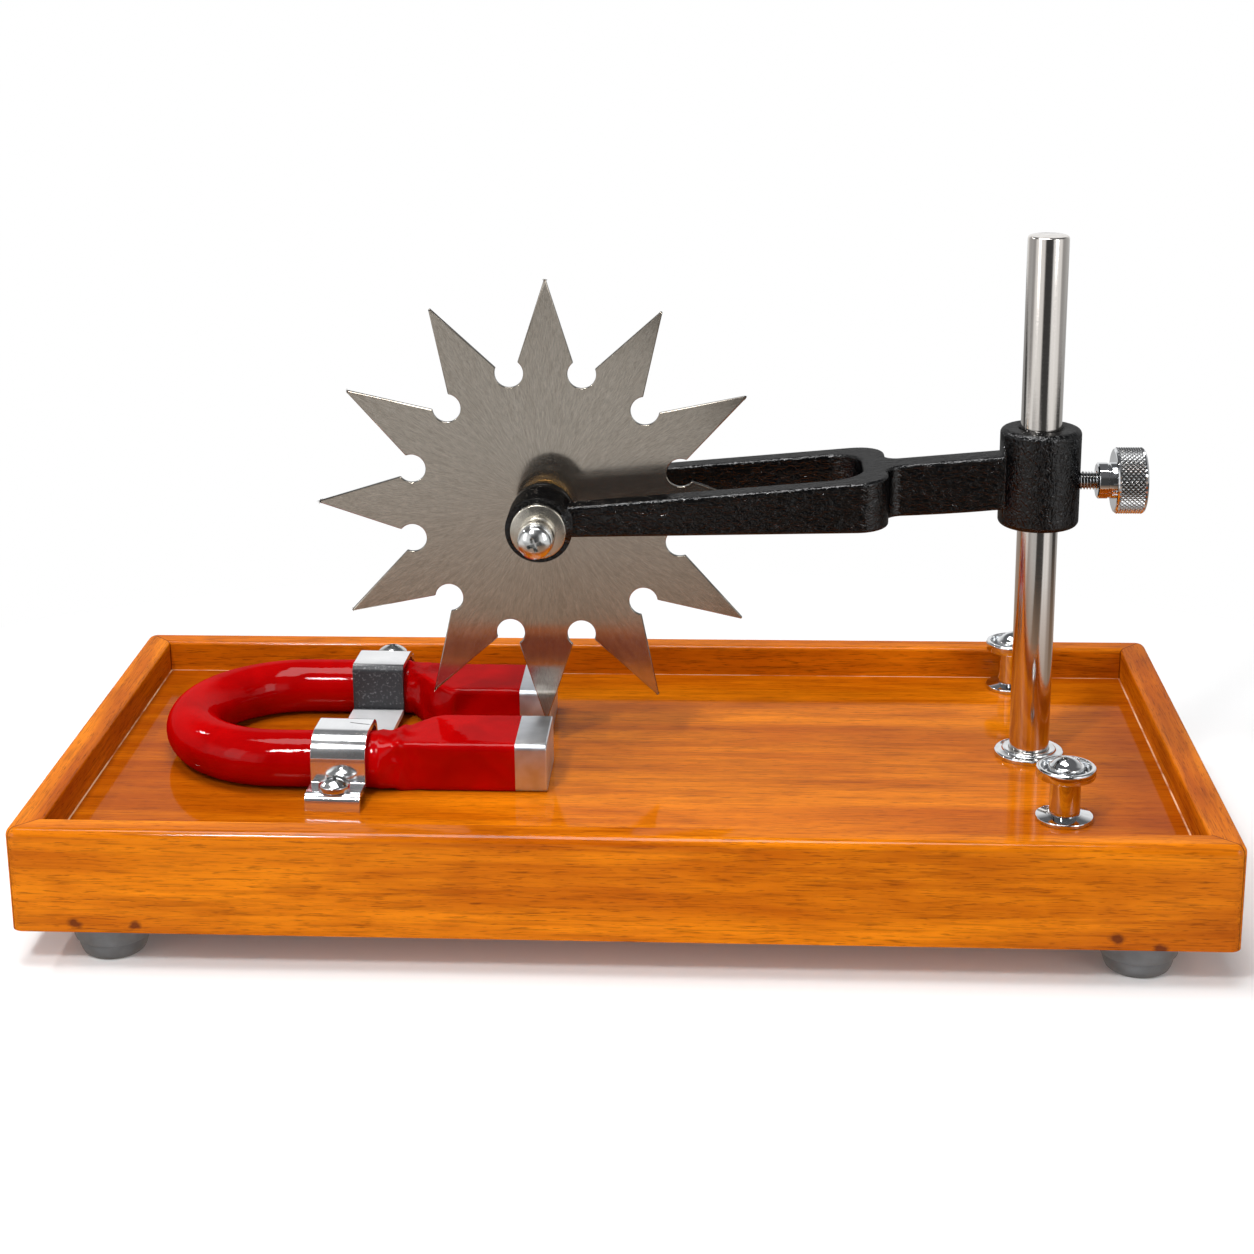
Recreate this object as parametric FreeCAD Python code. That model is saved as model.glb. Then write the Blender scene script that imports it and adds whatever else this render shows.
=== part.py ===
import FreeCAD, Part
import math
import os

# Demonstration electric motor: a star wheel turns in a fork arm between the poles of a horseshoe
# magnet, on a varnished wooden tray. Millimetres, +X to the right, +Y to the back, +Z up. The
# origin is the bottom centre of the tray, on the plane that the feet stand on.

# ---- tray ----
tray_length = 300.0
tray_depth = 150.0
rail_height = 27.0
rail_width = 8.0
recess_depth = 9.0
rail_edge_radius = 2.2
rail_inner_radius = 1.2
tray_corner_radius = 3.0

# ---- rubber feet ----
foot_height = 10.0
foot_top_radius = 10.6
foot_band_radius = 9.7
foot_band_height = 6.4
foot_band_step = 0.4
foot_tip_radius = 8.9
foot_tip_chamfer = 1.0
foot_inset_x = 22.5
foot_inset_y = 12.5
foot_screw_recess_radius = 4.6
foot_screw_recess_depth = 5.0

# ---- pan head screws in wood ----
screw_head_radius = 4.2
screw_head_height = 3.4
screw_shank_radius = 2.0
screw_clearance = 0.2
foot_screw_length = 15.0
strap_screw_bite = 12.0
head_rim_share = 0.45
head_crown_share = 0.6

# ---- where things stand on the tray ----
mechanism_y = 6.0
rod_from_right_end = 41.7
post_front_from_right_end = 38.0
post_front_from_front = 37.0
post_back_from_right_end = 40.5
post_gap_to_back_rail = 0.7
magnet_gap_to_left_rail = 14.5

# ---- upright rod ----
rod_radius = 5.3
rod_standing_height = 141.5
rod_top_chamfer = 0.8
rod_spigot_radius = 4.0
rod_spigot_end_gap = 1.0
rod_flange_radius = 9.3
rod_flange_height = 2.2
rod_flange_step_radius = 7.2
rod_flange_step_height = 0.7
rod_washer_radius = 9.0
rod_washer_thickness = 1.6
rod_nut_across_flats = 13.0
rod_nut_height = 6.0
rod_counterbore_radius = 10.0
nut_recess_cover = 1.0
turned_edge = 0.4

# ---- binding posts ----
post_flange_radius = 7.3
post_flange_height = 1.8
post_stud_radius = 2.0
post_stud_end_gap = 0.5
post_stud_in_dome = 1.2
post_thread_clearance = 0.05
post_bore_end_gap = 0.3
post_collar_radius = 3.9
post_collar_height = 9.8
post_nut_radius = 7.5
post_nut_height = 2.8
post_nut_rim_width = 1.2
post_nut_ring_width = 1.9
post_nut_ring_depth = 1.6
post_nut_land_width = 0.6
post_dome_height = 2.4
post_washer_radius = 5.0
post_washer_thickness = 1.0
post_lower_nut_across_flats = 7.0
post_lower_nut_height = 3.2
post_counterbore_radius = 6.0

# ---- horseshoe magnet ----
magnet_length = 107.5
magnet_bar_radius = 7.5
magnet_limb_spacing = 56.0
magnet_taper_start = 43.0
magnet_taper_length = 14.0
pole_end_past_axle = 1.7
pole_height = 13.4
pole_outer_half = 32.0
pole_inner_half = 9.0
pole_edge_radius = 1.6
taper_flat_width = 0.02

# ---- strap over the magnet ----
strap_width = 14.4
strap_thickness = 1.5
strap_gap_to_taper = 2.5
strap_skew_deg = -2.4
strap_bar_clearance = 0.35
strap_low_height = 2.6
strap_ear_length = 8.6
strap_front_ear_height = 3.0
strap_back_ear_height = 10.4

# ---- star wheel ----
wheel_radius = 61.0
wheel_thickness = 1.2
wheel_gap_to_floor = 8.5
wheel_turn_deg = 0.8
tooth_count = 12
tooth_depth = 23.8
tooth_tip_radius = 0.35
gullet_hole_radius = 3.8
gullet_lip = 0.8

# ---- fork arm casting ----
arm_rise_to_rod = 8.5
boss_radius = 10.5
boss_height = 26.0
boss_edge_radius = 1.5
rod_bore_clearance = 0.05
bore_mouth_chamfer = 0.7
shank_width = 8.5
fork_slot_width = 26.0
prong_width = 6.5
slot_gap_to_wheel = 22.7
slot_corner_radius = 9.0
yoke_thickness = 6.5
yoke_corner_radius = 8.5
yoke_neck_radius = 4.0
arm_top_at_axle = 4.1
arm_top_at_rod = 6.9
arm_bottom_at_axle = 3.5
arm_bottom_at_yoke = 10.4
arm_bottom_at_rod = 7.2
casting_edge_radius = 0.8
eye_radius = 8.7
eye_projection = 4.5

# ---- thumb screw ----
stud_radius = 2.5
stud_bore_clearance = 0.05
stud_tip_gap = 0.05
stud_below_boss_middle = 1.2
stud_showing = 4.3
thumb_collar_radius = 4.75
thumb_collar_length = 4.3
thumb_knob_radius = 8.75
thumb_knob_length = 8.0
thumb_knob_chamfer = 1.2
thumb_fit_clearance = 0.02

# ---- axle and what it carries, on each side of the wheel ----
axle_radius = 3.0
axle_bore_clearance = 0.05
axle_end_play = 0.3
hub_collar_radius = 7.1
hub_collar_length = 5.5
spacer_radius = 8.6
axle_washer_radius = 7.2
axle_washer_thickness = 1.8
end_collar_radius = 4.7
end_collar_length = 7.2
end_collar_socket = 2.1
spring_washer_radius = 4.4
spring_washer_thickness = 1.8
axle_screw_head_radius = 4.2
axle_screw_head_height = 2.9
axle_screw_radius = 1.5
axle_screw_length = 8.0

# ---- levels and places that follow from the sizes above ----
tray_bottom = foot_height
tray_top = tray_bottom + rail_height
floor_top = tray_top - recess_depth
half_length = tray_length / 2
half_depth = tray_depth / 2
rod_x = half_length - rod_from_right_end
post_front = (half_length - post_front_from_right_end, post_front_from_front - half_depth)
post_back = (half_length - post_back_from_right_end,
             half_depth - rail_width - post_gap_to_back_rail - post_flange_radius)
rod_recess_depth = rod_washer_thickness + rod_nut_height + nut_recess_cover
post_recess_depth = post_washer_thickness + post_lower_nut_height + nut_recess_cover
post_collar_bottom = floor_top + post_flange_height
post_nut_bottom = post_collar_bottom + post_collar_height
post_stud_top = post_nut_bottom + post_nut_height + post_stud_in_dome
magnet_end_x = rail_width + magnet_gap_to_left_rail + magnet_length - half_length
magnet_bend_x = magnet_end_x - magnet_length + magnet_limb_spacing / 2 + magnet_bar_radius
strap_x = magnet_end_x - magnet_taper_start - strap_gap_to_taper - strap_width / 2
strap_reach = magnet_limb_spacing / 2 + magnet_bar_radius + strap_bar_clearance + strap_thickness
wheel_x = magnet_end_x - pole_end_past_axle
wheel_z = floor_top + wheel_gap_to_floor + wheel_radius
boss_z = wheel_z + arm_rise_to_rod
boss_bottom = boss_z - boss_height / 2
boss_top = boss_z + boss_height / 2
thumb_screw_z = boss_z - stud_below_boss_middle
fork_outer_half = fork_slot_width / 2 + prong_width
eye_outer = fork_outer_half + eye_projection
slot_end_x = wheel_x + wheel_radius + slot_gap_to_wheel
yoke_back_x = slot_end_x + yoke_thickness

tolerance = 1e-6
origin = FreeCAD.Vector(0, 0, 0)
up = FreeCAD.Vector(0, 0, 1)
down = FreeCAD.Vector(0, 0, -1)
to_right = FreeCAD.Vector(1, 0, 0)
to_back = FreeCAD.Vector(0, 1, 0)
to_front = FreeCAD.Vector(0, -1, 0)


def point(x, y, z):
    return FreeCAD.Vector(x, y, z)


def cylinder(radius, height, base, direction=up):
    return Part.makeCylinder(radius, height, base, direction)


def centred_box(length, depth, height, x, y, z):
    """A box centred on x and y that stands on z."""
    return Part.makeBox(length, depth, height, point(x - length / 2, y - depth / 2, z))


def closed_face(points):
    """A flat face inside the closed polygon through the points."""
    return Part.Face(Part.makePolygon(points + [points[0]]))


def arc(start, middle, end):
    return Part.Arc(start, middle, end).toShape()


def line(start, end):
    return Part.LineSegment(start, end).toShape()


def turned(profile, base, direction=up):
    """Revolve (radius, height) points about the axis and set the piece on base along direction."""
    outline = [point(radius, 0, height) for radius, height in profile]
    solid = closed_face(outline).revolve(origin, up, 360)
    solid.Placement = FreeCAD.Placement(base, FreeCAD.Rotation(up, direction))
    return solid


def ring(outer_radius, inner_radius, height, base, direction=up):
    outside = cylinder(outer_radius, height, base, direction)
    return outside.cut(cylinder(inner_radius, height, base, direction))


def hexagon_nut(across_flats, bore_radius, height, x, y, z):
    corner = across_flats / math.sqrt(3)
    outline = []
    for index in range(6):
        angle = math.radians(60 * index)
        outline.append(point(x + corner * math.cos(angle), y + corner * math.sin(angle), z))
    nut = closed_face(outline).extrude(point(0, 0, height))
    return nut.cut(cylinder(bore_radius, height, point(x, y, z)))


def dome(rim_radius, rim_height, crown_height):
    """Half the outline of a round dome, from its rim to its crown on the axis."""
    rise = crown_height - rim_height
    sphere_radius = (rim_radius ** 2 + rise ** 2) / (2 * rise)
    half_angle = math.asin(rim_radius / sphere_radius) / 2
    middle_drop = sphere_radius * (1 - math.cos(half_angle))
    return arc(point(rim_radius, 0, rim_height),
               point(sphere_radius * math.sin(half_angle), 0, crown_height - middle_drop),
               point(0, 0, crown_height))


def pan_head_screw(head_radius, head_height, shank_radius, length, seat, direction):
    """A pan head above its seat, with the shank going the other way. direction points out."""
    rim_height = head_height * head_rim_share
    crown_radius = head_radius * head_crown_share
    return turned([
        (0, -length), (shank_radius, -length), (shank_radius, 0), (head_radius, 0),
        (head_radius, rim_height), (crown_radius, head_height), (0, head_height),
    ], seat, direction)


def save(name, *solids):
    """Write one named subpart. Like pieces that never move apart share a file."""
    shape = solids[0] if len(solids) == 1 else Part.makeCompound(list(solids))
    shape.exportStep(os.path.join("parts", name + ".step"))


def rounded_section(x, y_low, y_high, z_low, z_high, radius):
    """A rounded rectangle across the X direction, as eight edges that start at the lower side."""
    diagonal = radius * (1 - math.sqrt(0.5))
    corners = [
        (point(x, y_high - radius, z_low), point(x, y_high - diagonal, z_low + diagonal),
         point(x, y_high, z_low + radius)),
        (point(x, y_high, z_high - radius), point(x, y_high - diagonal, z_high - diagonal),
         point(x, y_high - radius, z_high)),
        (point(x, y_low + radius, z_high), point(x, y_low + diagonal, z_high - diagonal),
         point(x, y_low, z_high - radius)),
        (point(x, y_low, z_low + radius), point(x, y_low + diagonal, z_low + diagonal),
         point(x, y_low + radius, z_low)),
    ]
    edges = []
    for index, corner in enumerate(corners):
        before = corners[index - 1][2]
        edges.append(line(before, corner[0]))
        edges.append(arc(*corner))
    return Part.Wire(edges)


# ---- tray: a thick floor board inside four mitred rails ----

def floor_board():
    length = tray_length - 2 * rail_width
    depth = tray_depth - 2 * rail_width
    thickness = floor_top - tray_bottom
    board = centred_box(length, depth, thickness, 0, 0, tray_bottom)
    cuts = [
        cylinder(rod_spigot_radius, thickness, point(rod_x, mechanism_y, tray_bottom)),
        cylinder(rod_counterbore_radius, rod_recess_depth, point(rod_x, mechanism_y, tray_bottom)),
    ]
    for x, y in (post_front, post_back):
        cuts.append(cylinder(post_stud_radius, thickness, point(x, y, tray_bottom)))
        cuts.append(cylinder(post_counterbore_radius, post_recess_depth, point(x, y, tray_bottom)))
    cuts.extend(foot_screw_solids())
    cuts.extend(strap_screw_solids())
    return board.cut(cuts)


def tray_rails():
    """The frame is rounded as one piece, as sanded after gluing, and parted at the mitres."""
    outside = centred_box(tray_length, tray_depth, rail_height, 0, 0, tray_bottom)
    upright_edges = []
    for edge in outside.Edges:
        if abs(edge.BoundBox.ZLength - rail_height) < tolerance:
            upright_edges.append(edge)
    outside = outside.makeFillet(tray_corner_radius, upright_edges)
    top_edges = [edge for edge in outside.Edges if edge.BoundBox.ZMin > tray_top - tolerance]
    outside = outside.makeFillet(rail_edge_radius, top_edges)
    inner_length = tray_length - 2 * rail_width
    inner_depth = tray_depth - 2 * rail_width
    frame = outside.cut(centred_box(inner_length, inner_depth, rail_height, 0, 0, tray_bottom))
    inner_edges = []
    for edge in frame.Edges:
        box = edge.BoundBox
        on_top = box.ZMin > tray_top - tolerance
        if on_top and box.XMax < inner_length / 2 + tolerance and box.XMin > -inner_length / 2 - tolerance:
            inner_edges.append(edge)
    frame = frame.makeFillet(rail_inner_radius, inner_edges)
    meet = half_length - half_depth
    front_plan = [point(-half_length, -half_depth, 0), point(half_length, -half_depth, 0),
                  point(meet, 0, 0), point(-meet, 0, 0)]
    right_plan = [point(half_length, -half_depth, 0), point(half_length, half_depth, 0),
                  point(meet, 0, 0)]
    rails = {}
    for name, plan, turn in (("front", front_plan, 0), ("back", front_plan, 180),
                             ("right", right_plan, 0), ("left", right_plan, 180)):
        wedge = closed_face(plan).extrude(point(0, 0, tray_top))
        wedge.rotate(origin, up, turn)
        rails[name] = frame.common(wedge)
    return rails


def foot_places():
    x = half_length - foot_inset_x
    y = half_depth - foot_inset_y
    return [(-x, -y), (x, -y), (x, y), (-x, y)]


def rubber_foot(x, y):
    """A moulded foot: a band under the board, a step, and a narrower rounded end."""
    band_bottom = foot_height - foot_band_height
    foot = turned([
        (0, 0), (foot_tip_radius - foot_tip_chamfer, 0), (foot_tip_radius, foot_tip_chamfer),
        (foot_band_radius - foot_band_step, band_bottom), (foot_band_radius, band_bottom),
        (foot_top_radius, foot_height), (0, foot_height),
    ], point(x, y, 0))
    recess = cylinder(foot_screw_recess_radius, foot_screw_recess_depth, point(x, y, 0))
    hole = cylinder(screw_shank_radius + screw_clearance, foot_height, point(x, y, 0))
    return foot.cut([recess, hole])


def foot_screw_solids():
    screws = []
    for x, y in foot_places():
        seat = point(x, y, foot_screw_recess_depth)
        screws.append(pan_head_screw(screw_head_radius, screw_head_height, screw_shank_radius,
                                     foot_screw_length, seat, down))
    return screws


# ---- rod and binding posts ----

def upright_rod():
    rod = cylinder(rod_radius, rod_standing_height, point(rod_x, mechanism_y, floor_top))
    top_edge = [edge for edge in rod.Edges if edge.BoundBox.ZMin > floor_top + tolerance]
    rod = rod.makeChamfer(rod_top_chamfer, top_edge)
    spigot_length = floor_top - tray_bottom - rod_spigot_end_gap
    spigot = cylinder(rod_spigot_radius, spigot_length, point(rod_x, mechanism_y, floor_top), down)
    return rod.fuse(spigot)


def rod_flange():
    step_bottom = rod_flange_height - rod_flange_step_height
    return turned([
        (rod_radius, 0), (rod_flange_radius, 0), (rod_flange_radius, step_bottom - turned_edge),
        (rod_flange_radius - turned_edge, step_bottom), (rod_flange_step_radius, step_bottom),
        (rod_flange_step_radius, rod_flange_height - turned_edge),
        (rod_flange_step_radius - turned_edge, rod_flange_height),
        (rod_radius, rod_flange_height),
    ], point(rod_x, mechanism_y, floor_top))


def rod_fixings():
    recess_top = tray_bottom + rod_recess_depth
    washer_bottom = recess_top - rod_washer_thickness
    washer = ring(rod_washer_radius, rod_spigot_radius, rod_washer_thickness,
                  point(rod_x, mechanism_y, washer_bottom))
    nut = hexagon_nut(rod_nut_across_flats, rod_spigot_radius, rod_nut_height,
                      rod_x, mechanism_y, washer_bottom - rod_nut_height)
    return washer, nut


def post_flange(x, y):
    return turned([
        (post_stud_radius, 0), (post_flange_radius, 0),
        (post_flange_radius, post_flange_height - turned_edge),
        (post_flange_radius - turned_edge, post_flange_height),
        (post_stud_radius, post_flange_height),
    ], point(x, y, floor_top))


def post_stud(x, y):
    bottom = tray_bottom + post_stud_end_gap
    return cylinder(post_stud_radius, post_stud_top - bottom, point(x, y, bottom))


def post_collar(x, y):
    bore = post_stud_radius + post_thread_clearance
    return ring(post_collar_radius, bore, post_collar_height, point(x, y, post_collar_bottom))


def post_thumb_nut(x, y):
    """A flat round nut with a sunk ring on its face and a domed cap over the end of the stud."""
    bore = post_stud_radius + post_thread_clearance
    bore_top = post_stud_top - post_nut_bottom + post_bore_end_gap
    top = post_nut_height
    rim = post_nut_radius
    ring_outer = rim - post_nut_rim_width
    ring_inner = ring_outer - post_nut_ring_width
    dome_radius = ring_inner - post_nut_land_width
    corners = [
        (bore, 0), (rim - turned_edge, 0), (rim, turned_edge), (rim, top - turned_edge),
        (rim - turned_edge, top), (ring_outer, top), (ring_outer, top - post_nut_ring_depth),
        (ring_inner, top - post_nut_ring_depth), (ring_inner, top), (dome_radius, top),
    ]
    points = [point(radius, 0, height) for radius, height in corners]
    edges = [line(first, second) for first, second in zip(points, points[1:])]
    edges.append(dome(dome_radius, top, top + post_dome_height))
    edges.append(line(point(0, 0, top + post_dome_height), point(0, 0, bore_top)))
    edges.append(line(point(0, 0, bore_top), point(bore, 0, bore_top)))
    edges.append(line(point(bore, 0, bore_top), points[0]))
    nut = Part.Face(Part.Wire(edges)).revolve(origin, up, 360)
    nut.translate(point(x, y, post_nut_bottom))
    return nut


def post_fixings(x, y):
    recess_top = tray_bottom + post_recess_depth
    washer_bottom = recess_top - post_washer_thickness
    washer = ring(post_washer_radius, post_stud_radius, post_washer_thickness,
                  point(x, y, washer_bottom))
    nut = hexagon_nut(post_lower_nut_across_flats, post_stud_radius, post_lower_nut_height,
                      x, y, washer_bottom - post_lower_nut_height)
    return washer, nut


# ---- magnet and strap ----

def magnet_limb(side):
    """One limb, from the end of the bend to the pole. side is -1 at the front and 1 at the back."""
    limb_y = mechanism_y + side * magnet_limb_spacing / 2
    bar_z = floor_top + magnet_bar_radius
    round_end_x = magnet_end_x - magnet_taper_start
    pole_x = round_end_x + magnet_taper_length
    bar = cylinder(magnet_bar_radius, round_end_x - magnet_bend_x,
                   point(magnet_bend_x, limb_y, bar_z), to_right)
    near_round = magnet_bar_radius - taper_flat_width / 2
    pole_low = mechanism_y + min(side * pole_inner_half, side * pole_outer_half)
    pole_high = mechanism_y + max(side * pole_inner_half, side * pole_outer_half)
    start = rounded_section(round_end_x, limb_y - magnet_bar_radius, limb_y + magnet_bar_radius,
                            floor_top, floor_top + 2 * magnet_bar_radius, near_round)
    finish = rounded_section(pole_x, pole_low, pole_high, floor_top, floor_top + pole_height,
                             pole_edge_radius)
    taper = Part.makeLoft([start, finish], True, True)
    pole = Part.Face(finish).extrude(point(magnet_end_x - pole_x, 0, 0))
    return bar.fuse([taper, pole])


def horseshoe_magnet():
    """A round bar bent to a U and pressed to rectangular poles that stand closer together."""
    bend_radius = magnet_limb_spacing / 2
    centre = point(magnet_bend_x, mechanism_y, floor_top + magnet_bar_radius)
    section = Part.Wire(Part.makeCircle(magnet_bar_radius, centre + point(0, bend_radius, 0),
                                        to_right))
    bend = Part.Face(section).revolve(centre, up, 180)
    return bend.fuse([magnet_limb(-1), magnet_limb(1)])


def strap_edge(inset):
    """The strap's line across the tray at a distance from its inner side, front end first."""
    bar_z = magnet_bar_radius
    cap = magnet_bar_radius + strap_bar_clearance + inset
    half = magnet_limb_spacing / 2
    front_ear = strap_front_ear_height + inset
    back_ear = strap_back_ear_height + inset
    low = strap_low_height + inset
    lip = strap_reach + strap_ear_length - strap_thickness + inset
    back_leave = math.sqrt(cap ** 2 - (back_ear - bar_z) ** 2)
    flat_points = {
        "front_lip_foot": (-lip, 0), "front_lip_top": (-lip, front_ear),
        "front_leg_foot": (-half - cap, front_ear), "front_leg_top": (-half - cap, bar_z),
        "front_cap": (-half, bar_z + cap), "front_inner_top": (-half + cap, bar_z),
        "front_inner_foot": (-half + cap, low), "back_inner_foot": (half - cap, low),
        "back_inner_top": (half - cap, bar_z), "back_cap": (half, bar_z + cap),
        "back_leave": (half + back_leave, back_ear), "back_lip_top": (lip, back_ear),
        "back_lip_foot": (lip, 0),
    }
    return {name: point(0, y, z) for name, (y, z) in flat_points.items()}


def strap_path(edge):
    return [
        line(edge["front_lip_foot"], edge["front_lip_top"]),
        line(edge["front_lip_top"], edge["front_leg_foot"]),
        line(edge["front_leg_foot"], edge["front_leg_top"]),
        arc(edge["front_leg_top"], edge["front_cap"], edge["front_inner_top"]),
        line(edge["front_inner_top"], edge["front_inner_foot"]),
        line(edge["front_inner_foot"], edge["back_inner_foot"]),
        line(edge["back_inner_foot"], edge["back_inner_top"]),
        arc(edge["back_inner_top"], edge["back_cap"], edge["back_leave"]),
        line(edge["back_leave"], edge["back_lip_top"]),
        line(edge["back_lip_top"], edge["back_lip_foot"]),
    ]


def place_strap(solid):
    """Set a piece drawn about the strap's own centre at its place on the tray."""
    solid.rotate(origin, up, strap_skew_deg)
    solid.translate(point(strap_x, mechanism_y, floor_top))
    return solid


def strap_screw_places():
    """Centre and seat height of the front and the back screw, about the strap's own centre."""
    middle = strap_reach + strap_ear_length / 2
    return [(-middle, strap_front_ear_height + strap_thickness),
            (middle, strap_back_ear_height + strap_thickness)]


def strap_screw_solids():
    screws = []
    for y, seat in strap_screw_places():
        screw = pan_head_screw(screw_head_radius, screw_head_height, screw_shank_radius,
                               seat + strap_screw_bite, point(0, y, seat), up)
        screws.append(place_strap(screw))
    return screws


def magnet_strap():
    """One strip of plated steel, bent over both limbs, with a screwed ear at each end."""
    inner = strap_edge(0)
    outer = strap_edge(strap_thickness)
    edges = strap_path(inner)
    edges.append(line(inner["back_lip_foot"], outer["back_lip_foot"]))
    edges.extend(reversed(strap_path(outer)))
    edges.append(line(outer["front_lip_foot"], inner["front_lip_foot"]))
    section = Part.Face(Part.Wire(edges))
    section.translate(point(-strap_width / 2, 0, 0))
    strap = section.extrude(point(strap_width, 0, 0))
    holes = []
    for y, seat in strap_screw_places():
        holes.append(cylinder(screw_shank_radius + screw_clearance, seat, point(0, y, 0)))
    return place_strap(strap.cut(holes))


# ---- fork arm: one casting with a boss on the rod, a yoke and two prongs ----

def arm_plan():
    """The arm seen from above, as one half and its mirror image."""
    outer = fork_outer_half
    shank = shank_width / 2
    slot = fork_slot_width / 2
    height = boss_top
    half = closed_face([
        point(wheel_x, 0, 0), point(rod_x, 0, 0), point(rod_x, shank, 0),
        point(yoke_back_x, shank, 0), point(yoke_back_x, outer, 0), point(wheel_x, outer, 0),
    ]).extrude(point(0, 0, height))
    neck = upright_edge(half, yoke_back_x, shank)
    half = half.makeFillet(yoke_neck_radius, neck)
    half = half.makeFillet(yoke_corner_radius, upright_edge(half, yoke_back_x, outer))
    opening = Part.makeBox(slot_end_x - wheel_x + eye_radius, slot, height,
                           point(wheel_x - eye_radius, 0, 0))
    opening = opening.makeFillet(slot_corner_radius, upright_edge(opening, slot_end_x, slot))
    half = half.cut(opening)
    other = half.mirror(origin, to_back)
    plan = half.fuse(other).removeSplitter()
    plan.translate(point(0, mechanism_y, 0))
    return plan


def upright_edge(solid, x, y):
    """The vertical edges of a solid at one place in plan."""
    found = []
    for edge in solid.Edges:
        box = edge.BoundBox
        there = abs(box.XMin - x) < tolerance and abs(box.YMin - y) < tolerance
        if there and box.XLength < tolerance and box.YLength < tolerance:
            found.append(edge)
    return found


def arm_side():
    """The arm seen from the front. Its underside runs straight to the yoke, then sweeps up."""
    axle_low = point(wheel_x, 0, wheel_z - arm_bottom_at_axle)
    axle_high = point(wheel_x, 0, wheel_z + arm_top_at_axle)
    yoke_low = point(slot_end_x, 0, boss_z - arm_bottom_at_yoke)
    rod_low = point(rod_x, 0, boss_z - arm_bottom_at_rod)
    rod_high = point(rod_x, 0, boss_z + arm_top_at_rod)
    run = (rod_x - slot_end_x) / 2
    slope = (yoke_low.z - axle_low.z) / (yoke_low.x - axle_low.x)
    sweep = Part.BezierCurve()
    sweep.setPoles([yoke_low, yoke_low + point(run, 0, run * slope), rod_low])
    outline = Part.Wire([
        line(axle_low, yoke_low), sweep.toShape(), line(rod_low, rod_high),
        line(rod_high, axle_high), line(axle_high, axle_low),
    ])
    side = Part.Face(outline).extrude(point(0, 2 * fork_outer_half, 0))
    side.translate(point(0, mechanism_y - fork_outer_half, 0))
    return side


def long_edges(solid):
    """The edges that run along the bars, which a casting has rounded."""
    found = []
    for edge in solid.Edges:
        box = edge.BoundBox
        if edge.Length > shank_width / 4 and box.XLength > casting_edge_radius / 2:
            found.append(edge)
    return found


def fork_arm():
    """The casting, bored for the rod, the thumb screw and the axle."""
    bars = arm_plan().common(arm_side()).removeSplitter()
    bars = bars.makeFillet(casting_edge_radius, long_edges(bars))
    boss = cylinder(boss_radius, boss_height, point(rod_x, mechanism_y, boss_bottom))
    rims = [edge for edge in boss.Edges if edge.BoundBox.ZLength < tolerance]
    boss = boss.makeFillet(boss_edge_radius, rims)
    eye_length = eye_outer - fork_slot_width / 2
    eyes = []
    for side in (-1, 1):
        start = point(wheel_x, mechanism_y + side * fork_slot_width / 2, wheel_z)
        eyes.append(cylinder(eye_radius, eye_length, start, to_back * side))
    casting = bars.fuse([boss] + eyes)
    bore_radius = rod_radius + rod_bore_clearance
    mouth_radius = bore_radius + bore_mouth_chamfer
    cuts = [cylinder(bore_radius, boss_height, point(rod_x, mechanism_y, boss_bottom))]
    for z, direction in ((boss_bottom, up), (boss_top, down)):
        cuts.append(Part.makeCone(mouth_radius, bore_radius, bore_mouth_chamfer,
                                  point(rod_x, mechanism_y, z), direction))
    cuts.append(cylinder(stud_radius + stud_bore_clearance, boss_radius,
                         point(rod_x, mechanism_y, thumb_screw_z), to_right))
    cuts.append(cylinder(axle_radius + axle_bore_clearance, 2 * eye_outer,
                         point(wheel_x, mechanism_y - eye_outer, wheel_z), to_back))
    return casting.cut(cuts)


# ---- thumb screw that clamps the arm ----

def thumb_screw():
    """The threaded stud in the side of the boss, and the knob fixed on its outer end."""
    tip_x = rod_x + rod_radius + stud_tip_gap
    collar_x = rod_x + boss_radius + stud_showing
    knob_end = thumb_collar_length + thumb_knob_length
    seat_depth = thumb_collar_length + thumb_knob_length / 2
    stud = cylinder(stud_radius, collar_x + seat_depth - tip_x,
                    point(tip_x, mechanism_y, thumb_screw_z), to_right)
    bore = stud_radius + thumb_fit_clearance
    bore_end = seat_depth + thumb_fit_clearance
    chamfer = thumb_knob_chamfer
    knob = turned([
        (bore, 0), (thumb_collar_radius - turned_edge, 0), (thumb_collar_radius, turned_edge),
        (thumb_collar_radius, thumb_collar_length),
        (thumb_knob_radius - chamfer, thumb_collar_length),
        (thumb_knob_radius, thumb_collar_length + chamfer),
        (thumb_knob_radius, knob_end - chamfer), (thumb_knob_radius - chamfer, knob_end),
        (0, knob_end), (0, bore_end), (bore, bore_end),
    ], point(collar_x, mechanism_y, thumb_screw_z), to_right)
    return stud, knob


# ---- star wheel and its axle ----

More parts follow.
